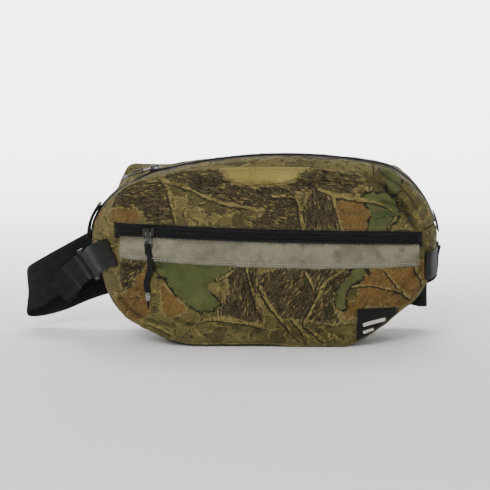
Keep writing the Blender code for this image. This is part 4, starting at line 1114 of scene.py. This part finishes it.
def build_seams():
    """Rolled seams round the front and the back of the shell."""
    angles = np.linspace(0, 2 * math.pi, 260, endpoint=False)
    for name, table, y in (("front_seam", FRONT, FRONT_SEAM_Y - 1.0), ("back_seam", BACK, BACK_SEAM_Y + 0.3)):
        path = []
        for a in angles:
            radius = radius_of(table, a) - 0.4
            path.append((radius * math.cos(a), y, max(CENTRE_Z + radius * math.sin(a), 1.2)))
        seam_roll(name, path, 1.35)


def build_back():
    """Back panel in printed cloth behind the padded mesh."""
    loop = catmull(BACK_OUTLINE, 4, closed=True)
    rings = [(1.0, 45.6), (0.995, 47.2), (0.9, 48.2), (0.72, 48.8), (0.45, 49.2)]
    points, flat = [], []
    for scale, y in rings:
        for x, z in loop:
            place = (x * scale, CENTRE_Z + (max(z, 0.6) - CENTRE_Z) * scale)
            points.append((place[0], y, place[1]))
            flat.append((place[0] + 420, place[1]))
    count = len(loop)
    faces = []
    for ring in range(len(rings) - 1):
        for k in range(count):
            a, b = ring * count + k, ring * count + (k + 1) % count
            faces.append([a, b, b + count, a + count])
    faces.append([(len(rings) - 1) * count + k for k in range(count)])
    obj = add_mesh("back_cloth", points, faces, "camo", "bag", ["back_panel"])
    face_outwards(obj)
    flat = np.array(flat)
    set_field(obj.data, "cloth", np.column_stack([flat, np.zeros(len(flat))]) * MM)
    set_field(obj.data, "wear", np.zeros(len(flat)))
    for key, values in print_fields(flat).items():
        set_field(obj.data, key, values)
    obj.data.materials.append(MATERIALS["lining"])
    thicken(obj, CLOTH_THICK, lined=True)


def build_back_pad():
    """Foam pad under air mesh, crowned between its channels, with a bound edge."""
    half_x, half_z, centre_z = 117.0, 61.0, 98.0
    columns, rows = 118, 62
    points, cloth = [], []
    for i in range(columns):
        for j in range(rows):
            s, t = 2 * i / (columns - 1) - 1, 2 * j / (rows - 1) - 1
            squared = (s * math.sqrt(1 - 0.16 * t * t), t * math.sqrt(1 - 0.16 * s * s))
            x, z = squared[0] * half_x, squared[1] * half_z
            rim = min(1 - abs(s), (1 - abs(t)) * half_z / half_x)
            crown = 4.6 * float(smooth(rim, 0.0, 0.11))
            channel = sum(math.exp(-(((x - c) / 3.2) ** 2)) for c in (-58, 0, 58))
            channel += math.exp(-((z / 3.2) ** 2))
            points.append((x, 50.6 + max(crown - 2.2 * min(channel, 1.0), 0.0), centre_z + z))
            cloth.append((x * MM, z * MM, 0))
    obj = add_mesh("back_pad_mesh", points, grid_faces(columns, rows), "mesh", "bag", ["back_pad"])
    face_outwards(obj)
    set_field(obj.data, "cloth", cloth)
    thicken(obj, 0.9)
    edge = []
    for turn in np.linspace(0, 2 * math.pi, 160, endpoint=False):
        c, s = math.cos(turn), math.sin(turn)
        scale = 1 / max(abs(c), abs(s))
        u, w = c * scale, s * scale
        edge.append((u * math.sqrt(1 - 0.16 * w * w) * half_x, 50.6,
                     centre_z + w * math.sqrt(1 - 0.16 * u * u) * half_z))
    add_tube("back_pad_binding", edge, 1.5, "tape", closed=True)


# Zips


def build_pocket_zip():
    for low, high, node in ((2.6, POCKET_TAPE + 0.6, "upper"), (-8.4, -2.6, "lower")):
        xs = np.linspace(-160, 162.5, 90)
        lanes = np.linspace(low, high, 5)
        grid = np.zeros((len(xs), len(lanes), 3))
        flat = np.zeros((len(xs), len(lanes), 2))
        for i, x in enumerate(xs):
            for j, offset in enumerate(lanes):
                lift = 0.25 * math.sin(x * 0.11 + j) + 0.5
                grid[i, j] = (x, FRONT_Y - dome_depth(x) - lift, pocket_zip_z(x) + offset)
                flat[i, j] = (x, offset)
        obj = add_mesh(f"pocket_tape_{node}", grid.reshape(-1, 3), grid_faces(*grid.shape[:2]), "tape", "bag",
                       [f"pocket_zip_tape_{node}"])
        face_outwards(obj)
        lay_flat(obj, flat)
        thicken(obj, 0.7, 0.0)
    teeth = []
    for x in np.arange(-153, 156, 1.7):
        slope = x / (POCKET_RADIUS - DOME + dome_depth(x))
        along = unit((1.0, slope, -math.tan(POCKET_ZIP_TILT)))
        up = unit((math.sin(POCKET_ZIP_TILT), 0.0, math.cos(POCKET_ZIP_TILT)))
        out = np.cross(along, up)
        centre = np.array([x, FRONT_Y - dome_depth(x), pocket_zip_z(x)]) + out * 0.5
        for side in (-1, 1):
            tooth = centre + side * 1.15 * up + side * 0.42 * along
            teeth.append((tooth, along * 0.62, up * 1.05, out * 0.75))
    add_blocks("pocket_coil_teeth", teeth, "coil", "bag", ["pocket_zip_coil"])
    bed = [(x, FRONT_Y - dome_depth(x) + 0.2, pocket_zip_z(x)) for x in np.linspace(-155, 157.5, 40)]
    add_ribbon("pocket_coil_bed", bed, (0, 0, 1), 4.9, 0.7, "tape", steps=2, ripple=0.0)


def build_strip(skin):
    xs = np.linspace(-154.5, 160.0, 110)
    rows = 14
    grid = np.zeros((len(xs), rows, 3))
    flat = np.zeros((len(xs), rows, 2))
    for i, x in enumerate(xs):
        bottom = -STRIP_TOP - STRIP_WIDTH + 4 * (x / HALF_WIDTH) ** 2
        for j in range(rows):
            offset = -STRIP_TOP - 0.6 + (bottom + STRIP_TOP) * j / (rows - 1)
            z = pocket_zip_z(x) + offset
            middle = math.sin(math.pi * j / (rows - 1))
            lift = 1.1 + 0.35 * math.sin(x * 0.07 + 2 * math.sin(z * 0.12)) * middle
            place = skin.front(x, z, lift)
            cap = FRONT_Y - dome_depth(x) - lift - 0.6
            if offset > -9.2:
                place = np.array([x, min(place[1], cap), z])
            grid[i, j] = place
            flat[i, j] = (x, offset)
    obj = add_mesh("reflective_cloth", grid.reshape(-1, 3), grid_faces(len(xs), rows), "strip", "bag",
                   ["reflective_strip"])
    face_outwards(obj)
    column, row = np.meshgrid(np.arange(len(xs)), np.arange(rows), indexing="ij")
    lay_flat(obj, flat)
    set_field(obj.data, "wear", smooth(1.6 - np.minimum(row, rows - 1 - row).ravel(), 0.0, 1.6))
    thicken(obj, 0.6)
    finer = obj.modifiers.new("finer", "SUBSURF")
    finer.levels = finer.render_levels = 1
    pale = []
    for inset in (2.4, 4.4):
        line = []
        for i, x in enumerate(xs[1:-1]):
            t = 1 - inset / STRIP_WIDTH
            k = t * (rows - 1)
            low = int(k)
            line.append(grid[i + 1, low] * (1 - k + low) + grid[i + 1, min(low + 1, rows - 1)] * (k - low)
                        + (0, -0.35, 0))
        pale += stitch_frames(line, 2.9)
    add_blocks("strip_stitches", pale, "pale_thread")
    bars = []
    for i, x in enumerate(np.arange(-153, 159, 2.1)):
        column = int(np.clip((x - xs[0]) / (xs[1] - xs[0]), 0, len(xs) - 1))
        centre = grid[column, 0] + np.array([0, -0.3, -0.4])
        bars.append((centre, np.array([0.5, 0, 0]), np.array([0, 0, 1.3]), np.array([0, -0.4, 0])))
    add_blocks("strip_top_overlock", bars, "dark_thread")


def build_panel_stitches(upper):
    """Stitch rows on the upper panel: the facing's line and the rows beside the zip."""
    skin = Skin(upper)
    facing = [skin.front(x, 148 - 0.011 * (x + 100), 0.15) for x in np.linspace(-98, 152, 120)]
    beside = [skin.front(x, pocket_zip_z(x) + POCKET_TAPE + 2.2, 0.15) for x in np.linspace(-156, 158, 150)]
    add_blocks("facing_stitches", stitch_frames(facing, 2.8, 0.8), "dark_thread")
    add_blocks("pocket_edge_stitches", stitch_frames(beside, 2.8, 0.8), "dark_thread")


def add_zip_tape(name, start, end, v_low, v_high, nodes, body="bag"):
    count = 60
    lanes = np.linspace(v_low, v_high, 4)
    grid = np.zeros((count, 4, 3))
    flat = np.zeros((count, 4, 2))
    for j, v in enumerate(lanes):
        for i, angle in enumerate(np.linspace(start(v), end(v), count)):
            grid[i, j] = shell_point(angle, v, 0.25 - 0.1 * math.sin(i * 0.9 + j))
            flat[i, j] = (angle * 190, v * 42)
    obj = add_mesh(name, grid.reshape(-1, 3), grid_faces(count, 4), "tape", body, nodes)
    face_outwards(obj)
    lay_flat(obj, flat)
    thicken(obj, 0.7, 0.0)
    return obj


def coil_frames(start, end, y, side):
    """Teeth of one coil along the crown, between two angles."""
    frames = []
    span = abs(end(0.0) - start(0.0))
    count = round(span * 190 / 1.75)
    v = y / -FRONT_SEAM_Y if y < 0 else y / BACK_SEAM_Y
    for angle in np.linspace(start(v), end(v), count):
        here = shell_point(angle, v, -0.7)
        along = unit(shell_point(angle + 0.004, v) - shell_point(angle - 0.004, v))
        across = np.array([0.0, 1.0, 0.0])
        out = unit(shell_point(angle, v, -1.0) - shell_point(angle, v))
        here = here + side * 0.4 * along
        frames.append((here, along * 0.62, across * 1.0, out * 0.8))
    return frames


def build_main_zip():
    whole = (at_angle(ZIP_RIGHT_END + CLEAR), at_angle(ZIP_LEFT_END - CLEAR))
    mouth = (at_x(MOUTH_RIGHT_X), at_x(MOUTH_LEFT_X))
    left = (at_x(MOUTH_LEFT_X - GAP), whole[1])
    right = (whole[0], at_x(MOUTH_RIGHT_X + GAP))
    add_zip_tape("zip_tape_back_cloth", *whole, 0.01, BACK_V + 0.012, ["main_zip_tape_back"])
    for name, ends in (("left_end", left), ("right_end", right)):
        add_zip_tape(f"zip_tape_{name}_cloth", *ends, -FRONT_V - 0.012, -0.01, [f"main_zip_tape_{name}"])
        add_blocks(f"zip_coil_{name}_teeth", coil_frames(*ends, -1.1, -1), "coil", "bag",
                   [f"main_zip_coil_{name}"])
    add_blocks("zip_coil_back_teeth", coil_frames(*whole, 1.15, 1), "coil", "bag", ["main_zip_coil_back"])
    tape = add_zip_tape("zip_tape_front_cloth", *mouth, -FRONT_V - 0.012, -0.01, ["main_zip_tape_front"],
                        None)
    teeth = add_blocks("zip_coil_front_teeth", coil_frames(*mouth, -1.1, -1), "coil", None,
                       ["main_zip_coil_front"])
    follow_mouth(tape)
    follow_mouth(teeth)
    for side, x_z in (("left", ((-177, 147), (-187, 112))), ("right", ((180, 118), (175, 138)))):
        first, last = (angle_of(*p) for p in x_z)
        lift, thick = (2.7, 1.3) if side == "right" else (3.6, 3.2)
        path = [shell_point(a, 0.0, -lift) for a in np.linspace(first, last, 7)]
        add_ribbon(f"zip_garage_{side}_cloth", path, (0, 1, 0), 24.0, thick, "webbing", "bag",
                   [f"main_zip_garage_{side}"], ripple=0.15)


def bevel(node, width, segments=2):
    """Rounds a CAD node's edges in the render without changing its own mesh."""
    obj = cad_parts[node]
    rounded = obj.modifiers.new("edges", "BEVEL")
    rounded.width = width * MM
    rounded.segments = segments
    rounded.limit_method = "ANGLE"
    rounded.angle_limit = math.radians(35)
    return obj


def build_pull(prefix, body, place, path, across, thick, bead, bead_along, size):
    """The woven ribbon on a zip pull and the clear bead at its foot."""
    add_ribbon(f"{prefix}_ribbon", place(path), across, 6.6, thick, "ribbon", body, [f"{prefix}_pull_cord"],
               steps=5, ripple=0.5)
    along = unit(bead_along)
    side = unit(np.cross(along, (0.3, 1.0, 0.2)))
    up = np.cross(along, side)
    profile = [(0.35, 0.0), (0.72, 0.03), (0.95, 0.14), (1.0, 0.3), (0.86, 0.42), (0.92, 0.55), (1.0, 0.7),
               (0.93, 0.86), (0.7, 0.97), (0.3, 1.0)]
    points, faces = [], []
    sides = 20
    for radius, height in profile:
        for k in range(sides):
            turn = 2 * math.pi * k / sides
            spoke = math.cos(turn) * side + math.sin(turn) * up
            points.append(np.asarray(bead) + along * height * size[1] + spoke * radius * size[0])
    for ring in range(len(profile) - 1):
        for k in range(sides):
            a, b = ring * sides + k, ring * sides + (k + 1) % sides
            faces.append([a, b, b + sides, a + sides])
    faces += [list(range(sides))[::-1], [(len(profile) - 1) * sides + k for k in range(sides)]]
    obj = add_mesh(f"{prefix}_bead", points, faces, "bead", body, [f"{prefix}_pull_bead"])
    mend_normals(obj)


def frame_at(origin, along, across):
    x = unit(along)
    y = unit(np.asarray(across, float) - np.dot(across, x) * x)
    z = np.cross(x, y)
    return lambda points: np.asarray(points, float) @ np.array([x, y, z]) + origin


def build_pulls():
    x = POCKET_SLIDER_X
    slope = x / (POCKET_RADIUS - DOME + dome_depth(x))
    along = unit((1.0, slope, -math.tan(POCKET_ZIP_TILT)))
    across = np.array([math.sin(POCKET_ZIP_TILT), 0.0, math.cos(POCKET_ZIP_TILT)])
    centre = np.array([x, FRONT_Y - dome_depth(x), pocket_zip_z(x)])
    hang = frame_at(centre, (0, 0, -1), along)
    local = [(23.0, 0, 6.1), (18.0, 0, 6.1), (15.6, 0, 6.3), (13.6, 0, 6.1), (12.9, 0, 4.5), (13.6, 0, 2.9),
             (15.6, 0, 2.9), (19.0, 0.4, 4.8), (27.0, 2.4, 7.0), (38.0, 3.0, 8.2), (46.0, 0.6, 8.0),
             (55.0, -1.4, 7.6), (63.0, 0.0, 7.0)]
    build_pull("pocket_zip", "pocket_cord", hang, local, along, 1.3, hang([[63.4, 0, 7.0]])[0], (0, 0, -1),
               (2.9, 9.0))
    tail = [hang([[62.0 + 2.4 * k, 0.5 * math.sin(k * 0.8), 7.0 - 0.3 * k]])[0] for k in range(9)]
    add_tube("pocket_zip_tail", tail, 0.8, "ribbon", "pocket_cord", sides=8)
    theta = math.asin((ARC_LEFT_X - CROWN_X) / CROWN_RADIUS)
    run = np.array([math.cos(theta), 0.0, -math.sin(theta)])
    hub = np.array([ARC_LEFT_X, 0.0, crown_z(ARC_LEFT_X)])
    place = frame_at(hub, -run, (0, -1, 0))
    local = [(22.0, 0, 6.1), (18.0, 0, 6.1), (15.6, 0, 6.3), (13.6, 0, 6.1), (12.9, 0, 4.5), (13.6, 0, 2.9),
             (15.6, 0, 2.7), (19.0, 0, 3.1), (23.0, 0, 3.2), (27.0, 0, 3.1), (30.0, 0, 2.9)]
    end = place(local[-2:])
    build_pull("main_zip", "main_cord", place, local, (0, -1, 0), 0.9, end[1] + unit(end[1] - end[0]) * 0.4,
               end[1] - end[0], (2.2, 6.0))


# Label


def build_label(skin):
    """Woven patch with a folded top edge, cut by the chamfered corner seam, and a plain
    device of two slanted bars."""
    left, top, size = 94.5, 44.5, 42.0
    columns, rows = 30, 30
    grid = np.zeros((columns, rows, 3))
    flat = np.zeros((columns, rows, 2))
    for i in range(columns):
        x = left + size * i / (columns - 1)
        low = outline_z(x, False) + 2.2
        for j in range(rows):
            z = low + (max(top, low + 1.5) - low) * j / (rows - 1)
            grid[i, j] = skin.front(x, z, 1.5)
            flat[i, j] = (x, z)
    obj = add_mesh("label_cloth_patch", grid.reshape(-1, 3), grid_faces(columns, rows), "label", "bag",
                   ["label_patch"])
    face_outwards(obj)
    lay_flat(obj, flat)
    thicken(obj, 0.9)
    fold = [skin.front(x, top - 1.2, 1.9) for x in np.linspace(left, left + 38, 24)]
    add_ribbon("label_fold", fold, (0, 0, 1), 3.0, 0.8, "tape", steps=1, ripple=0.0)
    for number, (x0, z0, x1, z1, wide) in enumerate(((101, 27, 124, 32.5, 4.6), (101.5, 18, 112, 21.5, 3.4))):
        path = [skin.front(x0 + (x1 - x0) * t, z0 + (z1 - z0) * t, 1.85) for t in np.linspace(0, 1, 12)]
        add_ribbon(f"label_bar_{number}", path, (0, 0, 1), wide, 0.5, "print", steps=1, ripple=0.0)


# Tabs, rings, straps and belt


SIDE_TABS = {
    "left": {
        "root": [(-163.4, -44.4, 103), (-171, -38, 99.5), (-180.5, -26, 93), (-185.5, -10, 87)],
        "ring": (-191.0, 12.0, 79.0),
        "bar": (-0.55, 0.0, 0.84),
        "run": (-0.42, 0.85, -0.30),
        "strap": [(-209, 30, 64), (-213.5, 38.5, 57), (-219.5, 42.6, 48), (-227, 42.6, 40)],
        "lean": (-0.3, 0.0, 0.95),
        "end_lean": (-0.64, 0.0, 0.77),
    },
    "right": {
        "root": [(167.6, -44.2, 87), (173.5, -36, 87), (179, -20, 86.5), (181.6, -4, 86), (181.6, 10, 85.5)],
        "ring": (181.8, 29.0, 84.5),
        "bar": (0.05, 0.0, 1.0),
        "run": (0.02, 1.0, -0.08),
        "strap": [(185.5, 50, 79), (183.5, 60, 72), (175, 67.2, 63), (160, 67.9, 56), (146, 68, 52)],
        "lean": (0.0, 0.0, 1.0),
        "end_lean": (0.1, 0.0, 1.0),
    },
}
LEFT_BELT = [
    (-146, 50.9, 107), (-170, 50.6, 95), (-200, 48, 79), (-230, 46, 62.5), (-249, 46.6, 51),
    (-259.5, 49.8, 43), (-263, 54, 38.5), (-259.5, 58.6, 35), (-249, 61.6, 34.5), (-228, 62.7, 40),
    (-199, 63.3, 52), (-168, 63.5, BUCKLE_Z), (-110, 63.5, BUCKLE_Z), (-56, 63.5, BUCKLE_Z),
]
LEFT_LEAN = [
    (-0.485, 0, 0.875), (-0.485, 0, 0.875), (-0.485, 0, 0.875), (-0.47, 0, 0.88), (-0.3, 0, 0.95),
    (0, 0, 1), (0.1, 0, 1), (-0.05, 0, 1), (-0.28, 0, 0.96), (-0.28, 0, 0.96),
    (-0.12, 0, 1), (0, 0, 1), (0, 0, 1), (0, 0, 1),
]
RIGHT_BELT = [
    (131, 50.9, 69), (143, 50.9, 60), (157, 51.1, 52), (170, 53.4, 47), (175.5, 57.8, 46),
    (170, 62.2, 46), (154, 64.4, 47), (127, 66, 51), (100, 69, 57), (80, 72.6, BUCKLE_Z),
]


def loop_path(radius, runout, tail, half_turns=8, dip=0.0):
    turn = [
        (radius * math.sin(math.pi * k / half_turns), radius * math.cos(math.pi * k / half_turns))
        for k in range(half_turns + 1)
    ]
    arriving = [(-runout * (1 - k / 2), radius) for k in range(2)]
    leaving = [(-tail * k / 2, -radius + dip * k / 2) for k in (1, 2)]
    return np.array(arriving + turn + leaving)


def build_side(side, spec):
    bar = unit(spec["bar"])
    run = unit(np.asarray(spec["run"]) - np.dot(spec["run"], bar) * bar)
    origin = np.asarray(spec["ring"], float)
    flip = 1.0 if side == "left" else -1.0
    place = frame_at(origin, run, flip * bar)
    near, far = -4.8, 4.8
    outside = 1.0 if place([[0, 0, 1]])[0][0] * origin[0] > origin[0] ** 2 else -1.0
    wrap = loop_path(3.3, 9.0, 9.0, dip=1.2)
    tab_end = place([(near + a, 0, outside * o) for a, o in wrap])
    lead = catmull([*spec["root"], tab_end[0]], 4)[:-1]
    leans = np.vstack([np.linspace(spec["lean"], bar, len(lead)), [bar] * len(tab_end)])
    add_ribbon(f"{side}_tab_webbing", np.vstack([lead, tab_end]), leans, TAB_WIDTH, TAB_THICK, "webbing",
               "bag", [f"{side}_side_tab"], steps=3, ripple=0.15)
    wide = loop_path(4.1, 9.0, 9.0, dip=1.6)
    strap_loop = place([(far - a, 0, outside * o) for a, o in wide])[::-1]
    strap_tail = catmull([strap_loop[-1], *spec["strap"]], 4)[1:]
    leans = np.vstack([[bar] * len(strap_loop), np.linspace(bar, spec["end_lean"], len(strap_tail))])
    add_ribbon(f"{side}_strap_webbing", np.vstack([strap_loop, strap_tail]), leans, TAB_WIDTH, TAB_THICK,
               "webbing", "bag", [f"{side}_stabiliser_strap"], steps=3, ripple=0.15)
    bevel(f"{side}_ring", 0.9, 3)


def square_end(obj, start, reach):
    """Draws a loop's flared corners in, so that it ends in an upright fold."""
    place = coordinates(obj.data) / MM
    beyond = np.maximum(start - place[:, 0], 0.0)
    place[:, 0] = np.where(beyond > 0, start - reach * (1 - np.exp(-beyond / reach)), place[:, 0])
    obj.data.vertices.foreach_set("co", (place * MM).astype(np.float32).ravel())
    obj.data.update()


def build_belt():
    loop = add_ribbon("left_belt_webbing", LEFT_BELT, LEFT_LEAN, BELT_WIDTH, BELT_THICK, "webbing", "bag",
                      ["left_belt"], steps=8, ripple=0.3)
    square_end(loop, -257.0, 6.0)
    wrap = loop_path(4.85, 6.0, 8.0, dip=1.2)
    loop = [(56.7 - a, BUCKLE_Y + o, BUCKLE_Z) for a, o in wrap]
    add_ribbon("right_belt_webbing", np.vstack([catmull([*RIGHT_BELT, loop[0]], 3)[:-1], loop]), (0, 0, 1),
               BELT_WIDTH, BELT_THICK, "webbing", "bag", ["right_belt"], steps=3, ripple=0.2)
    outer = [(-150, 68.6), (-110, 68.6), (-70, 68.6), (-44, 68.6), (-34, 70.8), (-26, 73.4), (-20, 74.2)]
    wrap = [(-13.4 + 3.9 * math.sin(t), BUCKLE_Y + 5.0 * math.cos(t)) for t in np.linspace(0, math.pi, 9)]
    lead = catmull([*outer, wrap[0]], 2)[:-1]
    path = [(x, y, BUCKLE_Z) for x, y in [*lead, *wrap]]
    add_ribbon("adjusting_webbing", path, (0, 0, 1), BELT_WIDTH, 1.5, "webbing", "buckle_plug",
               ["belt_adjusting_strap"], steps=2, ripple=0.0)


def dress_hard_pieces():
    looks = {
        "plastic": ["left_ring", "right_ring", "buckle_female", "buckle_male", "buckle_prong_upper",
                    "buckle_prong_lower", "belt_adjuster"],
        "webbing_plain": ["elastic_keeper"],
        "slider": ["main_zip_slider", "pocket_zip_slider"],
        "tab_metal": ["main_zip_pull_tab", "pocket_zip_pull_tab"],
        "lining_plain": ["pocket_divider"],
    }
    MATERIALS["webbing_plain"] = solid_material(
        "keeper_elastic", (0.010, 0.010, 0.010), (0.028, 0.028, 0.026), 90.0, (0.65, 0.9), 0.0002
    )
    MATERIALS["lining_plain"] = solid_material(
        "lining_cloth", (0.007, 0.007, 0.007), (0.017, 0.017, 0.016), 90.0, (0.7, 0.9), 0.0002
    )
    for key, nodes in looks.items():
        for node in nodes:
            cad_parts[node].data.materials.clear()
            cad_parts[node].data.materials.append(MATERIALS[key])
    for node in ("buckle_female", "buckle_male", "buckle_prong_upper", "buckle_prong_lower", "belt_adjuster"):
        bevel(node, 0.7)
    for node in ("main_zip_slider", "pocket_zip_slider", "main_zip_pull_tab", "pocket_zip_pull_tab"):
        bevel(node, 0.3)


# Stage, light and camera


def build_stage():
    """A pale sweep: floor, curve and wall in one sheet."""
    profile = [(-3.2, 0.0), (0.9, 0.0)]
    bend = np.linspace(0.15, math.pi / 2, 10)
    profile += [(0.9 + 1.2 * math.sin(t), 1.2 - 1.2 * math.cos(t)) for t in bend]
    profile.append((2.1, 4.0))
    points = [(x, y, z - 0.0002) for y, z in profile for x in (-4.0, 4.0)]
    faces = [[2 * k, 2 * k + 1, 2 * k + 3, 2 * k + 2] for k in range(len(profile) - 1)]
    mesh = bpy.data.meshes.new("sweep")
    mesh.from_pydata(points, [], faces)
    mesh.shade_smooth()
    graph = Graph("sweep_paper", roughness=0.9)
    tone = graph.noise(graph.place(), 2.0, 2.0, 0.5)
    mesh.materials.append(graph.finish(graph.mix(tone, (0.86, 0.86, 0.86), (0.9, 0.9, 0.9))))
    sweep = bpy.data.objects.new("sweep", mesh)
    bpy.context.scene.collection.objects.link(sweep)


def add_softbox(name, place, target, size, power, spread=math.pi):
    light = bpy.data.lights.new(name, "AREA")
    light.shape = "RECTANGLE"
    light.size, light.size_y = size
    light.energy = power
    light.spread = spread
    obj = bpy.data.objects.new(name, light)
    obj.location = place
    obj.rotation_euler = (Vector(target) - Vector(place)).to_track_quat("-Z", "Y").to_euler()
    bpy.context.scene.collection.objects.link(obj)


def build_light():
    add_softbox("key", (-0.9, -2.1, 1.6), (0, 0, 0.1), (1.3, 1.0), 50.0)
    add_softbox("fill", (1.7, -1.8, 0.9), (0, 0, 0.1), (1.2, 1.2), 1.5)
    add_softbox("top", (0.0, 0.3, 2.4), (0, 0, 0.1), (2.0, 1.4), 4.0)
    add_softbox("floor", (0.0, 1.5, 2.2), (0, 1.55, 0.0), (3.4, 1.0), 90.0, math.radians(75))
    world = bpy.data.worlds.new("studio")
    world.use_nodes = True
    backdrop = world.node_tree.nodes["Background"]
    backdrop.inputs["Color"].default_value = (1.0, 1.0, 1.0, 1.0)
    backdrop.inputs["Strength"].default_value = 0.72
    bpy.context.scene.world = world


def build_camera():
    """Level with the bag's upper half, ten degrees above, on a long lens."""
    look_at = Vector((-0.0232, -0.035, 0.1083))
    distance, elevation = 2.5, math.radians(10)
    camera = bpy.data.cameras.new("camera")
    camera.sensor_width = 36.0
    camera.lens = 173.9
    obj = bpy.data.objects.new("camera", camera)
    obj.location = look_at + Vector((0, -math.cos(elevation), math.sin(elevation))) * distance
    obj.rotation_euler = (look_at - obj.location).to_track_quat("-Z", "Y").to_euler()
    bpy.context.scene.collection.objects.link(obj)
    bpy.context.scene.camera = obj


def main():
    build_stage()
    build_light()
    build_camera()
    upper, lower = build_shell()
    build_seams()
    build_back()
    build_back_pad()
    skin = Skin(lower)
    build_pocket_zip()
    build_strip(skin)
    build_panel_stitches(upper)
    build_label(skin)
    build_main_zip()
    build_pulls()
    for side, spec in SIDE_TABS.items():
        build_side(side, spec)
    build_belt()
    dress_hard_pieces()


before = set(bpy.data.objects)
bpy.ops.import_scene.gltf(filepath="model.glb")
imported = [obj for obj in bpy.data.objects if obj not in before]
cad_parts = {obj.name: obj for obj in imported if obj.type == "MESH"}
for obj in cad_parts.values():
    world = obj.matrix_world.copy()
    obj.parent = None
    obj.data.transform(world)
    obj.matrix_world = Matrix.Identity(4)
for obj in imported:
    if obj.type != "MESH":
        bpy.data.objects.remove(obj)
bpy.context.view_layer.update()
MATERIALS = make_materials()
main()
